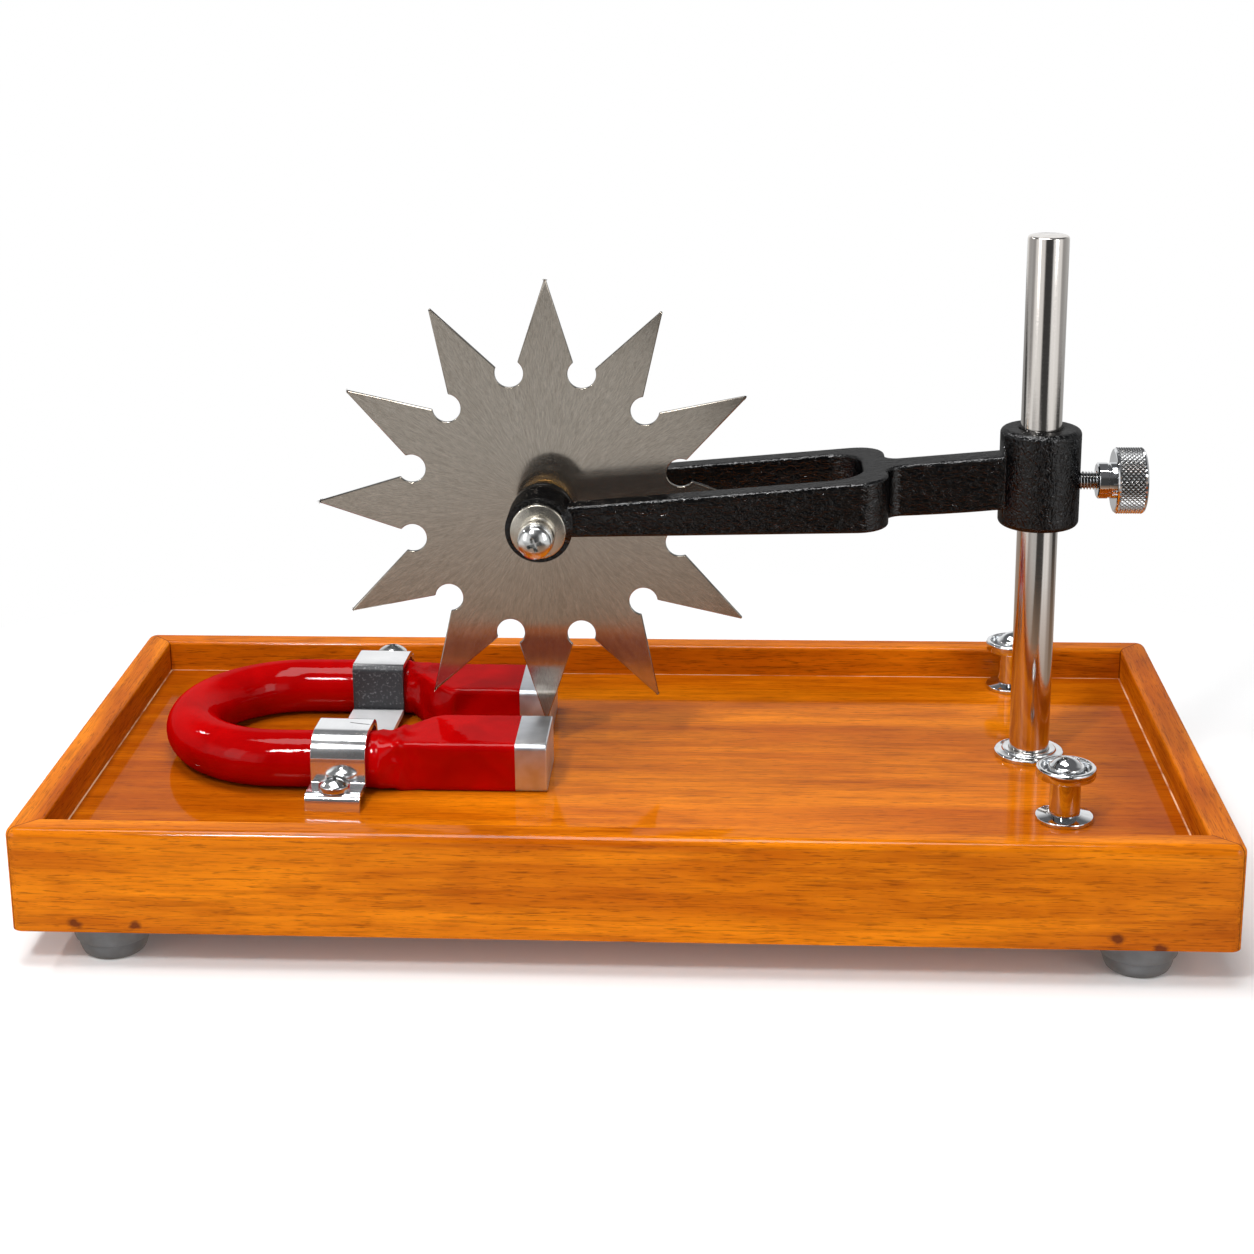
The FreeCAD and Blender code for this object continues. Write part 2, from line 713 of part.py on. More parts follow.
def star_wheel():
    """Twelve pointed teeth with a round hole at the foot of each gap, cut from thin sheet."""
    step = 2 * math.pi / tooth_count
    half_mouth = gullet_hole_radius - gullet_lip
    hole_circle = wheel_radius - tooth_depth
    mouth_radius = hole_circle + math.sqrt(gullet_hole_radius ** 2 - half_mouth ** 2)
    tip_centre = wheel_radius - tooth_tip_radius

    def at(angle, along, across=0.0):
        """A point of the wheel's plane, from its distances along and across one spoke."""
        x = along * math.sin(angle) + across * math.cos(angle)
        z = along * math.cos(angle) - across * math.sin(angle)
        return point(x, 0, z)

    edges = []
    for index in range(tooth_count):
        tooth = index * step
        gap = tooth + step / 2
        root = at(gap, mouth_radius, -half_mouth)
        next_root = at(gap, mouth_radius, half_mouth)
        hole_foot = at(gap, hole_circle - gullet_hole_radius)
        tip_right = at(tooth, tip_centre, tooth_tip_radius)
        next_tip_left = at(tooth + step, tip_centre, -tooth_tip_radius)
        next_tip = at(tooth + step, wheel_radius)
        next_tip_right = at(tooth + step, tip_centre, tooth_tip_radius)
        edges.append(line(tip_right, root))
        edges.append(arc(root, hole_foot, next_root))
        edges.append(line(next_root, next_tip_left))
        edges.append(arc(next_tip_left, next_tip, next_tip_right))
    plate = Part.Face(Part.Wire(edges)).extrude(point(0, wheel_thickness, 0))
    plate = plate.cut(cylinder(axle_radius, wheel_thickness, origin, to_back))
    plate.rotate(origin, to_back, wheel_turn_deg)
    plate.translate(point(wheel_x, mechanism_y - wheel_thickness / 2, wheel_z))
    return plate


def axle_set():
    """The axle, and the like pieces that it carries on both sides of the wheel, going outwards."""
    hub = wheel_thickness / 2
    spacer = hub + hub_collar_length
    spacer_length = fork_slot_width / 2 - axle_end_play - spacer
    washer = eye_outer + axle_end_play
    collar = washer + axle_washer_thickness
    spring = collar + end_collar_length
    screw = spring + spring_washer_thickness
    axle_end = collar + end_collar_length - end_collar_socket
    bore = axle_radius
    edge = turned_edge
    axle = cylinder(axle_radius, 2 * axle_end,
                    point(wheel_x, mechanism_y - axle_end, wheel_z), to_back)
    sets = {"hub": [], "spacer": [], "washer": [], "collar": [], "spring": [], "screw": []}
    for direction in (to_front, to_back):
        def on_axle(distance):
            return point(wheel_x, mechanism_y, wheel_z) + direction * distance

        sets["hub"].append(turned([
            (bore, 0), (hub_collar_radius, 0), (hub_collar_radius, hub_collar_length - edge),
            (hub_collar_radius - edge, hub_collar_length), (bore, hub_collar_length),
        ], on_axle(hub), direction))
        sets["spacer"].append(ring(spacer_radius, bore, spacer_length,
                                   on_axle(spacer), direction))
        sets["washer"].append(turned([
            (bore, 0), (axle_washer_radius - edge, 0), (axle_washer_radius, edge),
            (axle_washer_radius, axle_washer_thickness - edge),
            (axle_washer_radius - edge, axle_washer_thickness), (bore, axle_washer_thickness),
        ], on_axle(washer), direction))
        sets["collar"].append(turned([
            (bore, 0), (end_collar_radius, 0), (end_collar_radius, end_collar_length - edge),
            (end_collar_radius - edge, end_collar_length), (axle_screw_radius, end_collar_length),
            (axle_screw_radius, end_collar_length - end_collar_socket),
            (bore, end_collar_length - end_collar_socket),
        ], on_axle(collar), direction))
        sets["spring"].append(ring(spring_washer_radius, axle_screw_radius,
                                   spring_washer_thickness, on_axle(spring), direction))
        sets["screw"].append(pan_head_screw(axle_screw_head_radius, axle_screw_head_height,
                                            axle_screw_radius, axle_screw_length,
                                            on_axle(screw), direction))
    return axle.cut(sets["screw"]), sets


def build():
    os.makedirs("parts", exist_ok=True)
    save("tray_floor_board", floor_board())
    for name, rail in tray_rails().items():
        save("tray_rail_" + name, rail)
    save("rubber_feet", *[rubber_foot(x, y) for x, y in foot_places()])
    save("foot_screws", *foot_screw_solids())
    save("upright_rod", upright_rod())
    save("rod_flange", rod_flange())
    rod_washer, rod_nut = rod_fixings()
    save("rod_washer", rod_washer)
    save("rod_nut", rod_nut)
    posts = (post_front, post_back)
    save("post_flanges", *[post_flange(x, y) for x, y in posts])
    save("post_studs", *[post_stud(x, y) for x, y in posts])
    fixings = [post_fixings(x, y) for x, y in posts]
    save("post_lower_washers", *[washer for washer, nut in fixings])
    save("post_lower_nuts", *[nut for washer, nut in fixings])
    for name, (x, y) in (("front", post_front), ("back", post_back)):
        save("post_" + name + "_collar", post_collar(x, y))
        save("post_" + name + "_thumb_nut", post_thumb_nut(x, y))
    save("horseshoe_magnet", horseshoe_magnet())
    save("magnet_strap", magnet_strap())
    save("strap_screws", *strap_screw_solids())
    save("fork_arm", fork_arm())
    stud, knob = thumb_screw()
    save("thumb_screw_stud", stud)
    save("thumb_screw_knob", knob)
    save("star_wheel", star_wheel())
    axle, sets = axle_set()
    save("wheel_axle", axle)
    save("wheel_hub_collars", *sets["hub"])
    save("axle_spacers", *sets["spacer"])
    save("axle_washers", *sets["washer"])
    save("axle_end_collars", *sets["collar"])
    save("axle_spring_washers", *sets["spring"])
    save("axle_screws", *sets["screw"])


build()
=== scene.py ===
import contextlib
import math

import bmesh
import bpy
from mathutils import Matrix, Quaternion, Vector
from mathutils.noise import noise as noise_at


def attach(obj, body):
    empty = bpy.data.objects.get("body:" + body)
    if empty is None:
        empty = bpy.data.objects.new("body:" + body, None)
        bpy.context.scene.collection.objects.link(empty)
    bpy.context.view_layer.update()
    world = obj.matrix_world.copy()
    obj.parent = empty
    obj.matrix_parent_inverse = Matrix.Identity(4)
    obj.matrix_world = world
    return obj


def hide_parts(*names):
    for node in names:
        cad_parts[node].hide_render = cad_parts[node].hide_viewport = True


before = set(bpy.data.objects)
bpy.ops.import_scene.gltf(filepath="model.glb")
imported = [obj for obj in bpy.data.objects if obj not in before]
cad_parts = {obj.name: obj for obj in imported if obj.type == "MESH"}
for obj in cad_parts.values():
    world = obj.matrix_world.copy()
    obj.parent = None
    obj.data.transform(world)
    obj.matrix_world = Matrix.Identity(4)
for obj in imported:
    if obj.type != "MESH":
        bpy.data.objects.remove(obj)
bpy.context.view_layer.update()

mm = 0.001
scene = bpy.context.scene


# ---- the varnished tray ----
# Four mitred rails of close-grained orange-brown wood round a thick floor board, glued,
# sanded round at the edges as one frame, and varnished to a high gloss. Each board has its
# own figure; a pale line painted in the joint round the floor is a painted highlight there.

def seen(red, green, blue):
    """A colour as the eye names it, 0 to 255, in the numbers that a shader takes."""
    linear = []
    for part in (red, green, blue):
        part = part / 255
        linear.append(part / 12.92 if part < 0.04045 else ((part + 0.055) / 1.055) ** 2.4)
    return (*linear, 1.0)


wood_orange = seen(208, 101, 4)
wood_dark = seen(150, 66, 3)
wood_light = seen(232, 136, 16)
wood_pore = seen(76, 28, 4)
knot_brown = seen(84, 34, 14)
joint_highlight_pale = seen(226, 190, 150)
floor_half_length = 142 * mm
floor_half_depth = 67 * mm
# Painted shade on the floor board: towards its left end under the magnet's bend, and towards its
# right end by the right rail.
shade_under_magnet = (-25 * mm, -95 * mm)
shade_by_right_rail = (108 * mm, 134 * mm)
seam_width = 0.55 * mm
mitre_offset = 75 * mm
mitre_line = 0.3 * mm


def new_material(name, settings):
    """A Principled material, with its plain numbers set on the shader itself."""
    material = bpy.data.materials.new(name)
    material.use_nodes = True
    shader = material.node_tree.nodes["Principled BSDF"]
    for socket, value in settings.items():
        shader.inputs[socket].default_value = value
    return material, shader


def node(kind, inputs, tree=None, **settings):
    """Add a node beside the sockets that feed it; its other inputs are plain values."""
    for value in inputs.values():
        if isinstance(value, bpy.types.NodeSocket):
            tree = value.id_data
    made = tree.nodes.new("ShaderNode" + kind)
    for name, value in settings.items():
        setattr(made, name, value)
    for name, value in inputs.items():
        if isinstance(value, bpy.types.NodeSocket):
            tree.links.new(value, made.inputs[name])
        else:
            made.inputs[name].default_value = value
    return made


def feed(source, shader, socket):
    source.id_data.links.new(source, shader.inputs[socket])


def place_of(material, stretch=(1, 1, 1), shift=(0, 0, 0)):
    """The point on the piece, in metres, stretched and shifted."""
    coordinates = node("TexCoord", {}, material.node_tree)
    return node("Mapping", {
        "Vector": coordinates.outputs["Object"], "Location": shift, "Scale": stretch,
    }).outputs[0]


def noise(material, stretch, shift=(0, 0, 0), detail=3.0, distortion=0.0):
    return node("TexNoise", {
        "Vector": place_of(material, stretch, shift), "Scale": 1.0, "Detail": detail,
        "Roughness": 0.55, "Distortion": distortion,
    }).outputs[0]


def span(source, low, high, to_low=0.0, to_high=1.0):
    """Map the part of a value from low to high on to another span, and hold it there."""
    return node("MapRange", {
        "Value": source, "From Min": low, "From Max": high, "To Min": to_low, "To Max": to_high,
    }).outputs[0]


def sums(operation, first, second=0.0):
    return node("Math", {0: first, 1: second}, operation=operation).outputs[0]


def vectors(operation, first, second=(0, 0, 0)):
    """Work on whole vectors; a length or a dot product comes out as one number."""
    made = node("VectorMath", {0: first, 1: second}, operation=operation)
    return made.outputs["Value" if operation in ("LENGTH", "DOT_PRODUCT") else "Vector"]


def apart(point):
    """The three parts of a vector, along X, Y and Z."""
    return node("SeparateXYZ", {0: point}).outputs


def gap(first, second):
    """How far two values are from each other."""
    return sums("ABSOLUTE", sums("SUBTRACT", first, second))


def mix(factor, first, second):
    """Mix two colours, each a plain colour or a socket."""
    return node("Mix", {0: factor, 6: first, 7: second}, data_type="RGBA").outputs[2]


def relief(height, depth, strength, under=None):
    """Raise the surface by a height from 0 to 1, which stands for a depth in mm."""
    inputs = {"Height": height, "Distance": depth * mm, "Strength": strength}
    if under is not None:
        inputs["Normal"] = under
    return node("Bump", inputs).outputs[0]


def varnished_wood(name, along, shift, depth=0.0, knots=(), seam=False):
    """Wood whose grain runs along one axis, under a coat of varnish.

    The depth makes its figure stronger. Each knot is its x, its z and its size in mm. The floor
    board has a pale line painted round it in the joint, a painted highlight, and painted shade
    towards its ends; each rail has the dark line of its mitres.
    """
    def grain(long_way, across):
        stretch = [across, across, across]
        stretch[along] = long_way
        return stretch

    material, shader = new_material(name, {
        "Roughness": 0.5, "Specular IOR Level": 0.0, "Coat Weight": 0.11,
        "Coat Roughness": 0.07, "Coat IOR": 2.5,
    })
    figure = noise(material, grain(7, 95), shift, 5.0, 0.8)
    bands = noise(material, grain(16, 420), shift, 3.0, 0.3)
    streaks = noise(material, grain(70, 1500), shift)
    pores = noise(material, grain(230, 3600), shift, 2.0)
    clouds = noise(material, (14, 14, 14), shift, 2.0)
    patches = noise(material, grain(26, 75), shift[::-1], 4.0, 0.6)
    x, y = apart(place_of(material))[:2]
    colour = mix(span(figure, 0.36, 0.66), wood_dark, wood_light)
    colour = mix(0.3 - depth, colour, wood_orange)
    colour = mix(span(clouds, 0.35, 0.65, 0.0, 0.3), colour, wood_light)
    if seam:
        # Painted shade at the ends of the floor, strongest where the figure is dark.
        painted_end_shade = sums("MAXIMUM", span(x, *shade_under_magnet), span(x, *shade_by_right_rail))
        end_shade_in_figure = sums("MULTIPLY", painted_end_shade, span(figure, 0.3, 0.62, 1.0, 0.62))
        colour = mix(end_shade_in_figure, colour, wood_dark)
    colour = mix(span(patches, 0.5, 0.68, 0.0, 0.42), colour, wood_dark)
    colour = mix(span(bands, 0.48, 0.7, 0.0, 0.55 + depth), colour, wood_dark)
    colour = mix(span(streaks, 0.52, 0.72, 0.0, 0.42), colour, wood_pore)
    colour = mix(span(pores, 0.57, 0.68, 0.0, 0.5), colour, wood_pore)
    for knot_x, knot_z, size in knots:
        near = place_of(material, (1 / (size * mm), 0, 1.5 / (size * mm)),
                        (-knot_x / size, 0, -1.5 * knot_z / size))
        wander = noise(material, (300, 20, 500), shift)
        edge = sums("ADD", vectors("LENGTH", near), span(wander, 0.3, 0.7, -0.35, 0.35))
        colour = mix(span(edge, 0.55, 1.25, 0.85, 0.0), colour, knot_brown)
    if seam:
        # A pale line painted in the joint round the floor: a painted highlight there, broken into
        # patches.
        to_ends = sums("SUBTRACT", floor_half_length, sums("ABSOLUTE", x))
        to_sides = sums("SUBTRACT", floor_half_depth, sums("ABSOLUTE", y))
        nearest = sums("MINIMUM", to_ends, to_sides)
        patchy = noise(material, (90, 90, 90), shift, 4.0)
        there = sums("MULTIPLY", span(nearest, seam_width * 0.6, seam_width, 1.0, 0.0),
                     span(patchy, 0.38, 0.55, 0.15, 0.9))
        colour = mix(there, colour, joint_highlight_pale)
    else:
        beyond = sums("SUBTRACT", sums("ABSOLUTE", x), sums("ABSOLUTE", y))
        line = span(gap(beyond, mitre_offset), mitre_line * 0.5, mitre_line, 0.75, 0.0)
        colour = mix(line, colour, wood_pore)
    feed(colour, shader, "Base Color")
    feed(relief(span(pores, 0.6, 0.75, 1.0, 0.0), 0.02, 0.35), shader, "Normal")
    ripple = noise(material, grain(45, 260), shift)
    feed(relief(ripple, 0.05, 0.5), shader, "Coat Normal")
    return material


def choose(piece):
    """Make one piece the active one, with nothing else selected."""
    bpy.ops.object.select_all(action="DESELECT")
    bpy.context.view_layer.objects.active = piece
    piece.select_set(True)


@contextlib.contextmanager
def editing():
    """Edit mode on the active piece, with all of it selected, and back again."""
    bpy.ops.object.mode_set(mode="EDIT")
    bpy.ops.mesh.select_all(action="SELECT")
    yield
    bpy.ops.object.mode_set(mode="OBJECT")


def smooth_by_angle(degrees):
    bpy.ops.object.shade_smooth_by_angle(angle=math.radians(degrees))


def even_shading(piece):
    """Let the large flat faces keep their own direction beside small rounded ones."""
    choose(piece)
    weights = piece.modifiers.new("even shading", "WEIGHTED_NORMAL")
    weights.keep_sharp = True
    bpy.ops.object.modifier_apply(modifier=weights.name)


def smooth_copy(source, name):
    """A copy of a node of the frame, its loose triangles joined and its rounded edges smooth."""
    piece = bpy.data.objects.new(name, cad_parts[source].data.copy())
    piece.data.name = name
    scene.collection.objects.link(piece)
    choose(piece)
    with editing():
        bpy.ops.mesh.remove_doubles(threshold=0.001 * mm)
    smooth_by_angle(32)
    even_shading(piece)
    return piece


def ease_edges(piece, width, segments=2, angle=28, clamp=True):
    """Break every sharp edge by a small round, and shade the piece smooth up to its flats."""
    choose(piece)
    bpy.ops.object.shade_smooth()
    bevel = piece.modifiers.new("eased edges", "BEVEL")
    bevel.width = width * mm
    bevel.segments = segments
    bevel.use_clamp_overlap = clamp
    bevel.limit_method = "ANGLE"
    bevel.angle_limit = math.radians(angle)
    bevel.harden_normals = True
    bpy.ops.object.modifier_apply(modifier=bevel.name)


def finish_piece(piece, material, body, slot_name, *stands_for):
    """Give a piece its material, the body it moves with, and the nodes it stands for."""
    piece.data.materials.clear()
    piece.data.materials.append(material)
    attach(piece, body)
    if stands_for:
        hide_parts(*stands_for)


def paint_node(name, material):
    """Put a material on a node of the frame whose shape is already right."""
    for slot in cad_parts[name].material_slots:
        slot.material = material


along_x, along_y = 0, 1
floor_wood = varnished_wood("wood_floor", along_x, (0.3, 1.7, 0.9), depth=-0.12, seam=True)
front_knots = ((-133.8, 12.4, 1.9), (-118.5, 12.0, 1.6), (120.3, 13.0, 2.1), (130.5, 10.6, 1.8))
rail_woods = {
    "front": varnished_wood("wood_front", along_x, (2.1, 0.4, 5.2), knots=front_knots),
    "back": varnished_wood("wood_back", along_x, (7.7, 3.1, 1.4), depth=-0.25),
    "left": varnished_wood("wood_left", along_y, (4.3, 6.2, 3.3)),
    "right": varnished_wood("wood_right", along_y, (1.9, 8.4, 6.6)),
}
paint_node("tray_floor_board", floor_wood)
for side, wood in rail_woods.items():
    rail = smooth_copy("tray_rail_" + side, "varnished_rail_" + side)
    ease_edges(rail, 0.14, segments=1, angle=40)
    even_shading(rail)
    finish_piece(rail, wood, "base", "varnished_wood", "tray_rail_" + side)


# ---- rubber feet ----
# Four moulded grey rubber feet, each a tapered band with a step and a narrower rounded end,
# screwed up into the floor board through a sunk hole.

foot_places = ((-127.5, -62.5), (127.5, -62.5), (127.5, 62.5), (-127.5, 62.5))
foot_sink = 5.0


def worn_finish(name, settings, cloud, tones, gloss, marks, depth, strength):
    """A finish whose tone and gloss wander, with fine marks in its surface.

    The cloud and the marks are given as noise takes them. The tones tell between which values
    of the cloud the first colour turns to the second, and the gloss maps it on to roughness.
    """
    material, shader = new_material(name, settings)
    wander = noise(material, *cloud)
    low, high, first, second = tones
    feed(mix(span(wander, low, high), seen(*first), seen(*second)), shader, "Base Color")
    feed(span(wander, *gloss), shader, "Roughness")
    feed(relief(noise(material, *marks), depth, strength), shader, "Normal")
    return material


rubber = worn_finish(
    "grey_rubber", {"Roughness": 0.55, "Specular IOR Level": 0.45},
    cloud=((160, 160, 160), (0, 0, 0), 4.0),
    tones=(0.35, 0.7, (92, 94, 95), (110, 112, 114)),
    gloss=(0.3, 0.7, 0.42, 0.62),
    marks=((2600, 2600, 2600),), depth=0.03, strength=0.4)


def begin(name, add, scale=(1, 1, 1), **settings):
    """Add a primitive with nothing else selected, its place and size settled in its mesh."""
    bpy.ops.object.select_all(action="DESELECT")
    add(**settings)
    piece = bpy.context.object
    piece.name = piece.data.name = name
    piece.scale = scale
    bpy.ops.object.transform_apply(location=True, rotation=True, scale=True)
    return piece


def pull(x, y, z):
    """Extrude what is selected, and move the new part by a step in mm."""
    bpy.ops.mesh.extrude_region_move(
        TRANSFORM_OT_translate={"value": (x * mm, y * mm, z * mm)})


def close_up():
    """Cap the open ends of what is edited, and turn all its faces outwards."""
    bpy.ops.mesh.select_all(action="SELECT")
    bpy.ops.mesh.fill_holes(sides=0)
    bpy.ops.mesh.normals_make_consistent(inside=False)


def turn_piece(name, outline, sides=64, hollow=False):
    """Pull a circle up the Z axis through the (radius, height) steps of an outline in mm.

    A hollow outline goes round the wall and closes on its start; a solid one is capped.
    """
    radius, height = outline[0]
    piece = begin(name, bpy.ops.mesh.primitive_circle_add, vertices=sides, radius=radius * mm,
                  location=(0, 0, height * mm))
    with editing():
        for next_radius, next_height in outline[1:] + (outline[:1] if hollow else []):
            pull(0, 0, next_height - height)
            share = next_radius / radius
            bpy.ops.transform.resize(value=(share, share, 1))
            radius, height = next_radius, next_height
        bpy.ops.mesh.select_all(action="SELECT")
        bpy.ops.mesh.remove_doubles(threshold=0.0005 * mm)
        close_up()
    return piece


def set_down(piece, place, direction=(0, 0, 1), turn=0):
    """Turn a piece drawn up the Z axis to its direction, and set its foot at its place in mm."""
    choose(piece)
    piece.rotation_mode = "QUATERNION"
    lean = Vector(direction).to_track_quat("Z", "Y")
    piece.rotation_quaternion = lean @ Quaternion((0, 0, 1), math.radians(turn))
    piece.location = [part * mm for part in place]
    bpy.ops.object.transform_apply(location=True, rotation=True, scale=True)


def set_out(pattern, material, body, slot_name, stands_for, copies):
    """Set down named copies of a pattern, each with its own mesh.

    The first of them stands for the node of the frame that holds them all, if one is given.
    """
    for number, (name, *where) in enumerate(copies):
        piece = pattern.copy()
        piece.data = pattern.data.copy()
        piece.name = piece.data.name = name
        scene.collection.objects.link(piece)
        set_down(piece, *where)
        nodes = [stands_for] if stands_for and number == 0 else []
        finish_piece(piece, material, body, slot_name, *nodes)


foot = turn_piece("rubber_foot", [
    (2.2, 5.0), (4.6, 5.0), (4.6, 0.3), (4.9, 0.0), (6.7, 0.0), (7.2, 0.12), (7.8, 0.6),
    (8.3, 1.6), (8.65, 2.8), (8.8, 3.8), (8.85, 4.4), (9.45, 4.5), (9.62, 4.7), (10.0, 6.4),
    (10.35, 8.2), (10.55, 9.5), (10.6, 10.0), (2.2, 10.0),
], sides=72, hollow=True)
ease_edges(foot, 0.12)
set_out(foot, rubber, "base", "grey_rubber", "rubber_feet",
        [(f"rubber_foot_{number}", (x, y, 0)) for number, (x, y) in enumerate(foot_places, 1)])
bpy.data.objects.remove(foot)


# ---- pan head screws in wood ----
# Six plated cross-recess pan heads: four hold the feet from below, two hold the strap. The
# head is upset cold and rolled, so its crown is a smooth low dome with a soft rim.

plated = worn_finish(
    "plated_steel", {"Metallic": 1.0, "Roughness": 0.2},
    cloud=((240, 240, 240), (3, 1, 2), 4.0, 0.4),
    tones=(0.35, 0.7, (186, 188, 188), (216, 217, 216)),
    gloss=(0.3, 0.75, 0.1, 0.26),
    marks=((2400, 150, 2400), (0, 4, 1), 2.0), depth=0.01, strength=0.3)


def dome_steps(rim_radius, rim_height, crown_height):
    """The outline of a round dome, from its rim nearly to the axis."""
    steps = 10
    rise = crown_height - rim_height
    sphere = (rim_radius ** 2 + rise ** 2) / (2 * rise)
    half_angle = math.asin(rim_radius / sphere)
    outline = []
    for step in range(steps):
        angle = half_angle * (1 - step / steps)
        outline.append((sphere * math.sin(angle), crown_height - sphere * (1 - math.cos(angle))))
    return outline


def pick(piece, kind, test):
    """Select the faces, edges or verts of a piece in edit mode that pass a test."""
    bpy.ops.mesh.select_mode(type={"verts": "VERT", "edges": "EDGE", "faces": "FACE"}[kind])
    bpy.ops.mesh.select_all(action="DESELECT")
    mesh = bmesh.from_edit_mesh(piece.data)
    for part in getattr(mesh, kind):
        if test(part):
            part.select_set(True)
    mesh.select_flush_mode()
    bmesh.update_edit_mesh(piece.data)


def cross_cutter(reach, width, depth, top):
    """A tapered cross, which leaves the driver recess when it is cut from a screw head."""
    above = 1.0
    taper = 0.42
    cutter = begin("cross_cutter", bpy.ops.mesh.primitive_cube_add,
                   (width * mm, width * mm, (depth + above) * mm), size=1,
                   location=(0, 0, (top - depth / 2 + above / 2) * mm))
    floor_z = (top - depth + 0.01) * mm
    with editing():
        pick(cutter, "faces", lambda face: abs(face.normal.z) < 0.5)
        bpy.ops.mesh.extrude_faces_move(
            TRANSFORM_OT_shrink_fatten={"value": (reach - width / 2) * mm})
        pick(cutter, "verts", lambda vert: vert.co.z < floor_z)
        bpy.ops.transform.resize(value=(taper, taper, 1))
        bpy.ops.mesh.select_all(action="SELECT")
        bpy.ops.mesh.normals_make_consistent(inside=False)
    return cutter


def cut_away(piece, cutter):
    """Cut one piece by another, which is then put away."""
    choose(piece)
    cut = piece.modifiers.new("cut", "BOOLEAN")
    cut.operation = "DIFFERENCE"
    cut.solver = "EXACT"
    cut.object = cutter
    bpy.ops.object.modifier_apply(modifier=cut.name)
    bpy.data.objects.remove(cutter)


def pan_head_screw(name, radius, height, shank_radius, shank_length):
    """A screw head that stands on the origin, with a cross recess in its crown."""
    rim = height * 0.42
    outline = [(shank_radius, -shank_length), (shank_radius, -0.01), (radius - 0.25, 0),
               (radius, 0.2), (radius, rim)] + dome_steps(radius - 0.08, rim + 0.16, height)
    screw = turn_piece(name, outline, sides=72)
    cut_away(screw, cross_cutter(reach=radius * 0.62, width=radius * 0.3, depth=height * 0.68,
                                 top=height))
    ease_edges(screw, 0.06, angle=34)
    return screw


up, down = (0, 0, 1), (0, 0, -1)
foot_screw_turns = (51, 82, 113, 144)
front_ear, front_ear_turn = (-74.45, -35.61, 32.5), 12
back_ear, back_ear_turn = (-70.95, 47.62, 39.9), 58
wood_screw = pan_head_screw("wood_screw", radius=4.2, height=3.4, shank_radius=2.0,
                            shank_length=4.0)
set_out(wood_screw, plated, "base", "plated_steel", "foot_screws",
        [(f"foot_screw_{number}", (x, y, foot_sink), down, turn)
         for number, ((x, y), turn) in enumerate(zip(foot_places, foot_screw_turns), 1)])
set_out(wood_screw, plated, "base", "plated_steel", "strap_screws",
        [("strap_screw_1", front_ear, up, front_ear_turn),
         ("strap_screw_2", back_ear, up, back_ear_turn)])
bpy.data.objects.remove(wood_screw)


# ---- upright rod and its flange ----
# A ground steel rod with a small chamfer at its top, shouldered on a turned and chromed flange,
# and drawn down from below by a washer and nut.

board_top = 28.0
middle_y = 6.0
rod_place = (108.3, middle_y, board_top)
rod_steel, shader = new_material("rod_steel", {"Metallic": 1.0, "Roughness": 0.14})
drawn = noise(rod_steel, (400, 400, 6))
ground = noise(rod_steel, (60, 60, 5200), detail=2.0)
feed(mix(span(drawn, 0.35, 0.7), seen(206, 200, 194), seen(226, 222, 217)), shader, "Base Color")
feed(span(ground, 0.3, 0.7, 0.07, 0.15), shader, "Roughness")
feed(relief(ground, 0.012, 0.35), shader, "Normal")
chrome = worn_finish(
    "chrome", {"Metallic": 1.0, "Roughness": 0.06},
    cloud=((300, 300, 300), (1, 2, 3), 4.0, 0.3),
    tones=(0.3, 0.7, (208, 210, 212), (226, 228, 230)),
    gloss=(0.35, 0.75, 0.03, 0.12),
    marks=((900, 900, 900),), depth=0.006, strength=0.3)

rod = turn_piece("ground_rod", [(4.0, -17.0), (4.0, 0.0), (5.3, 0.0), (5.3, 140.7),
                                (5.18, 141.18), (4.9, 141.42), (4.5, 141.5)], sides=96)
ease_edges(rod, 0.1)
set_down(rod, rod_place)
finish_piece(rod, rod_steel, "base", "rod_steel", "upright_rod")

flange = turn_piece("rod_collar", [
    (5.32, 0.0), (9.15, 0.0), (9.3, 0.15), (9.3, 1.0), (9.18, 1.3), (8.9, 1.48), (7.45, 1.55),
    (7.25, 1.62), (7.15, 1.8), (7.05, 2.05), (6.8, 2.2), (5.9, 2.2), (5.5, 2.1), (5.32, 1.9),
], sides=96, hollow=True)
ease_edges(flange, 0.08)
set_down(flange, rod_place)
finish_piece(flange, chrome, "base", "chrome", "rod_flange")
for hidden in ("rod_washer", "rod_nut"):
    paint_node(hidden, plated)


# ---- binding posts ----
# Two chromed posts for the leads. A flange lies on the board, a turned collar stands on it,
# and a flat round nut with a sunk ring and a domed cap screws down on the brass stud inside,
# which a washer and nut hold from below.

post_places = {"front": (112.0, -38.0), "back": (109.5, 59.0)}
flange_height = 1.8
collar_height = 9.8
collar_foot = board_top + flange_height
nut_foot = collar_foot + collar_height
brass = worn_finish(
    "brass", {"Metallic": 1.0, "Roughness": 0.24},
    cloud=((260, 260, 260), (5, 1, 0), 4.0, 0.5),
    tones=(0.35, 0.7, (196, 150, 78), (222, 182, 108)),
    gloss=(0.3, 0.7, 0.17, 0.32),
    marks=((900, 5200, 900), (0, 0, 0), 2.0), depth=0.012, strength=0.3)
paint_node("post_studs", brass)
for hidden in ("post_lower_washers", "post_lower_nuts"):
    paint_node(hidden, plated)

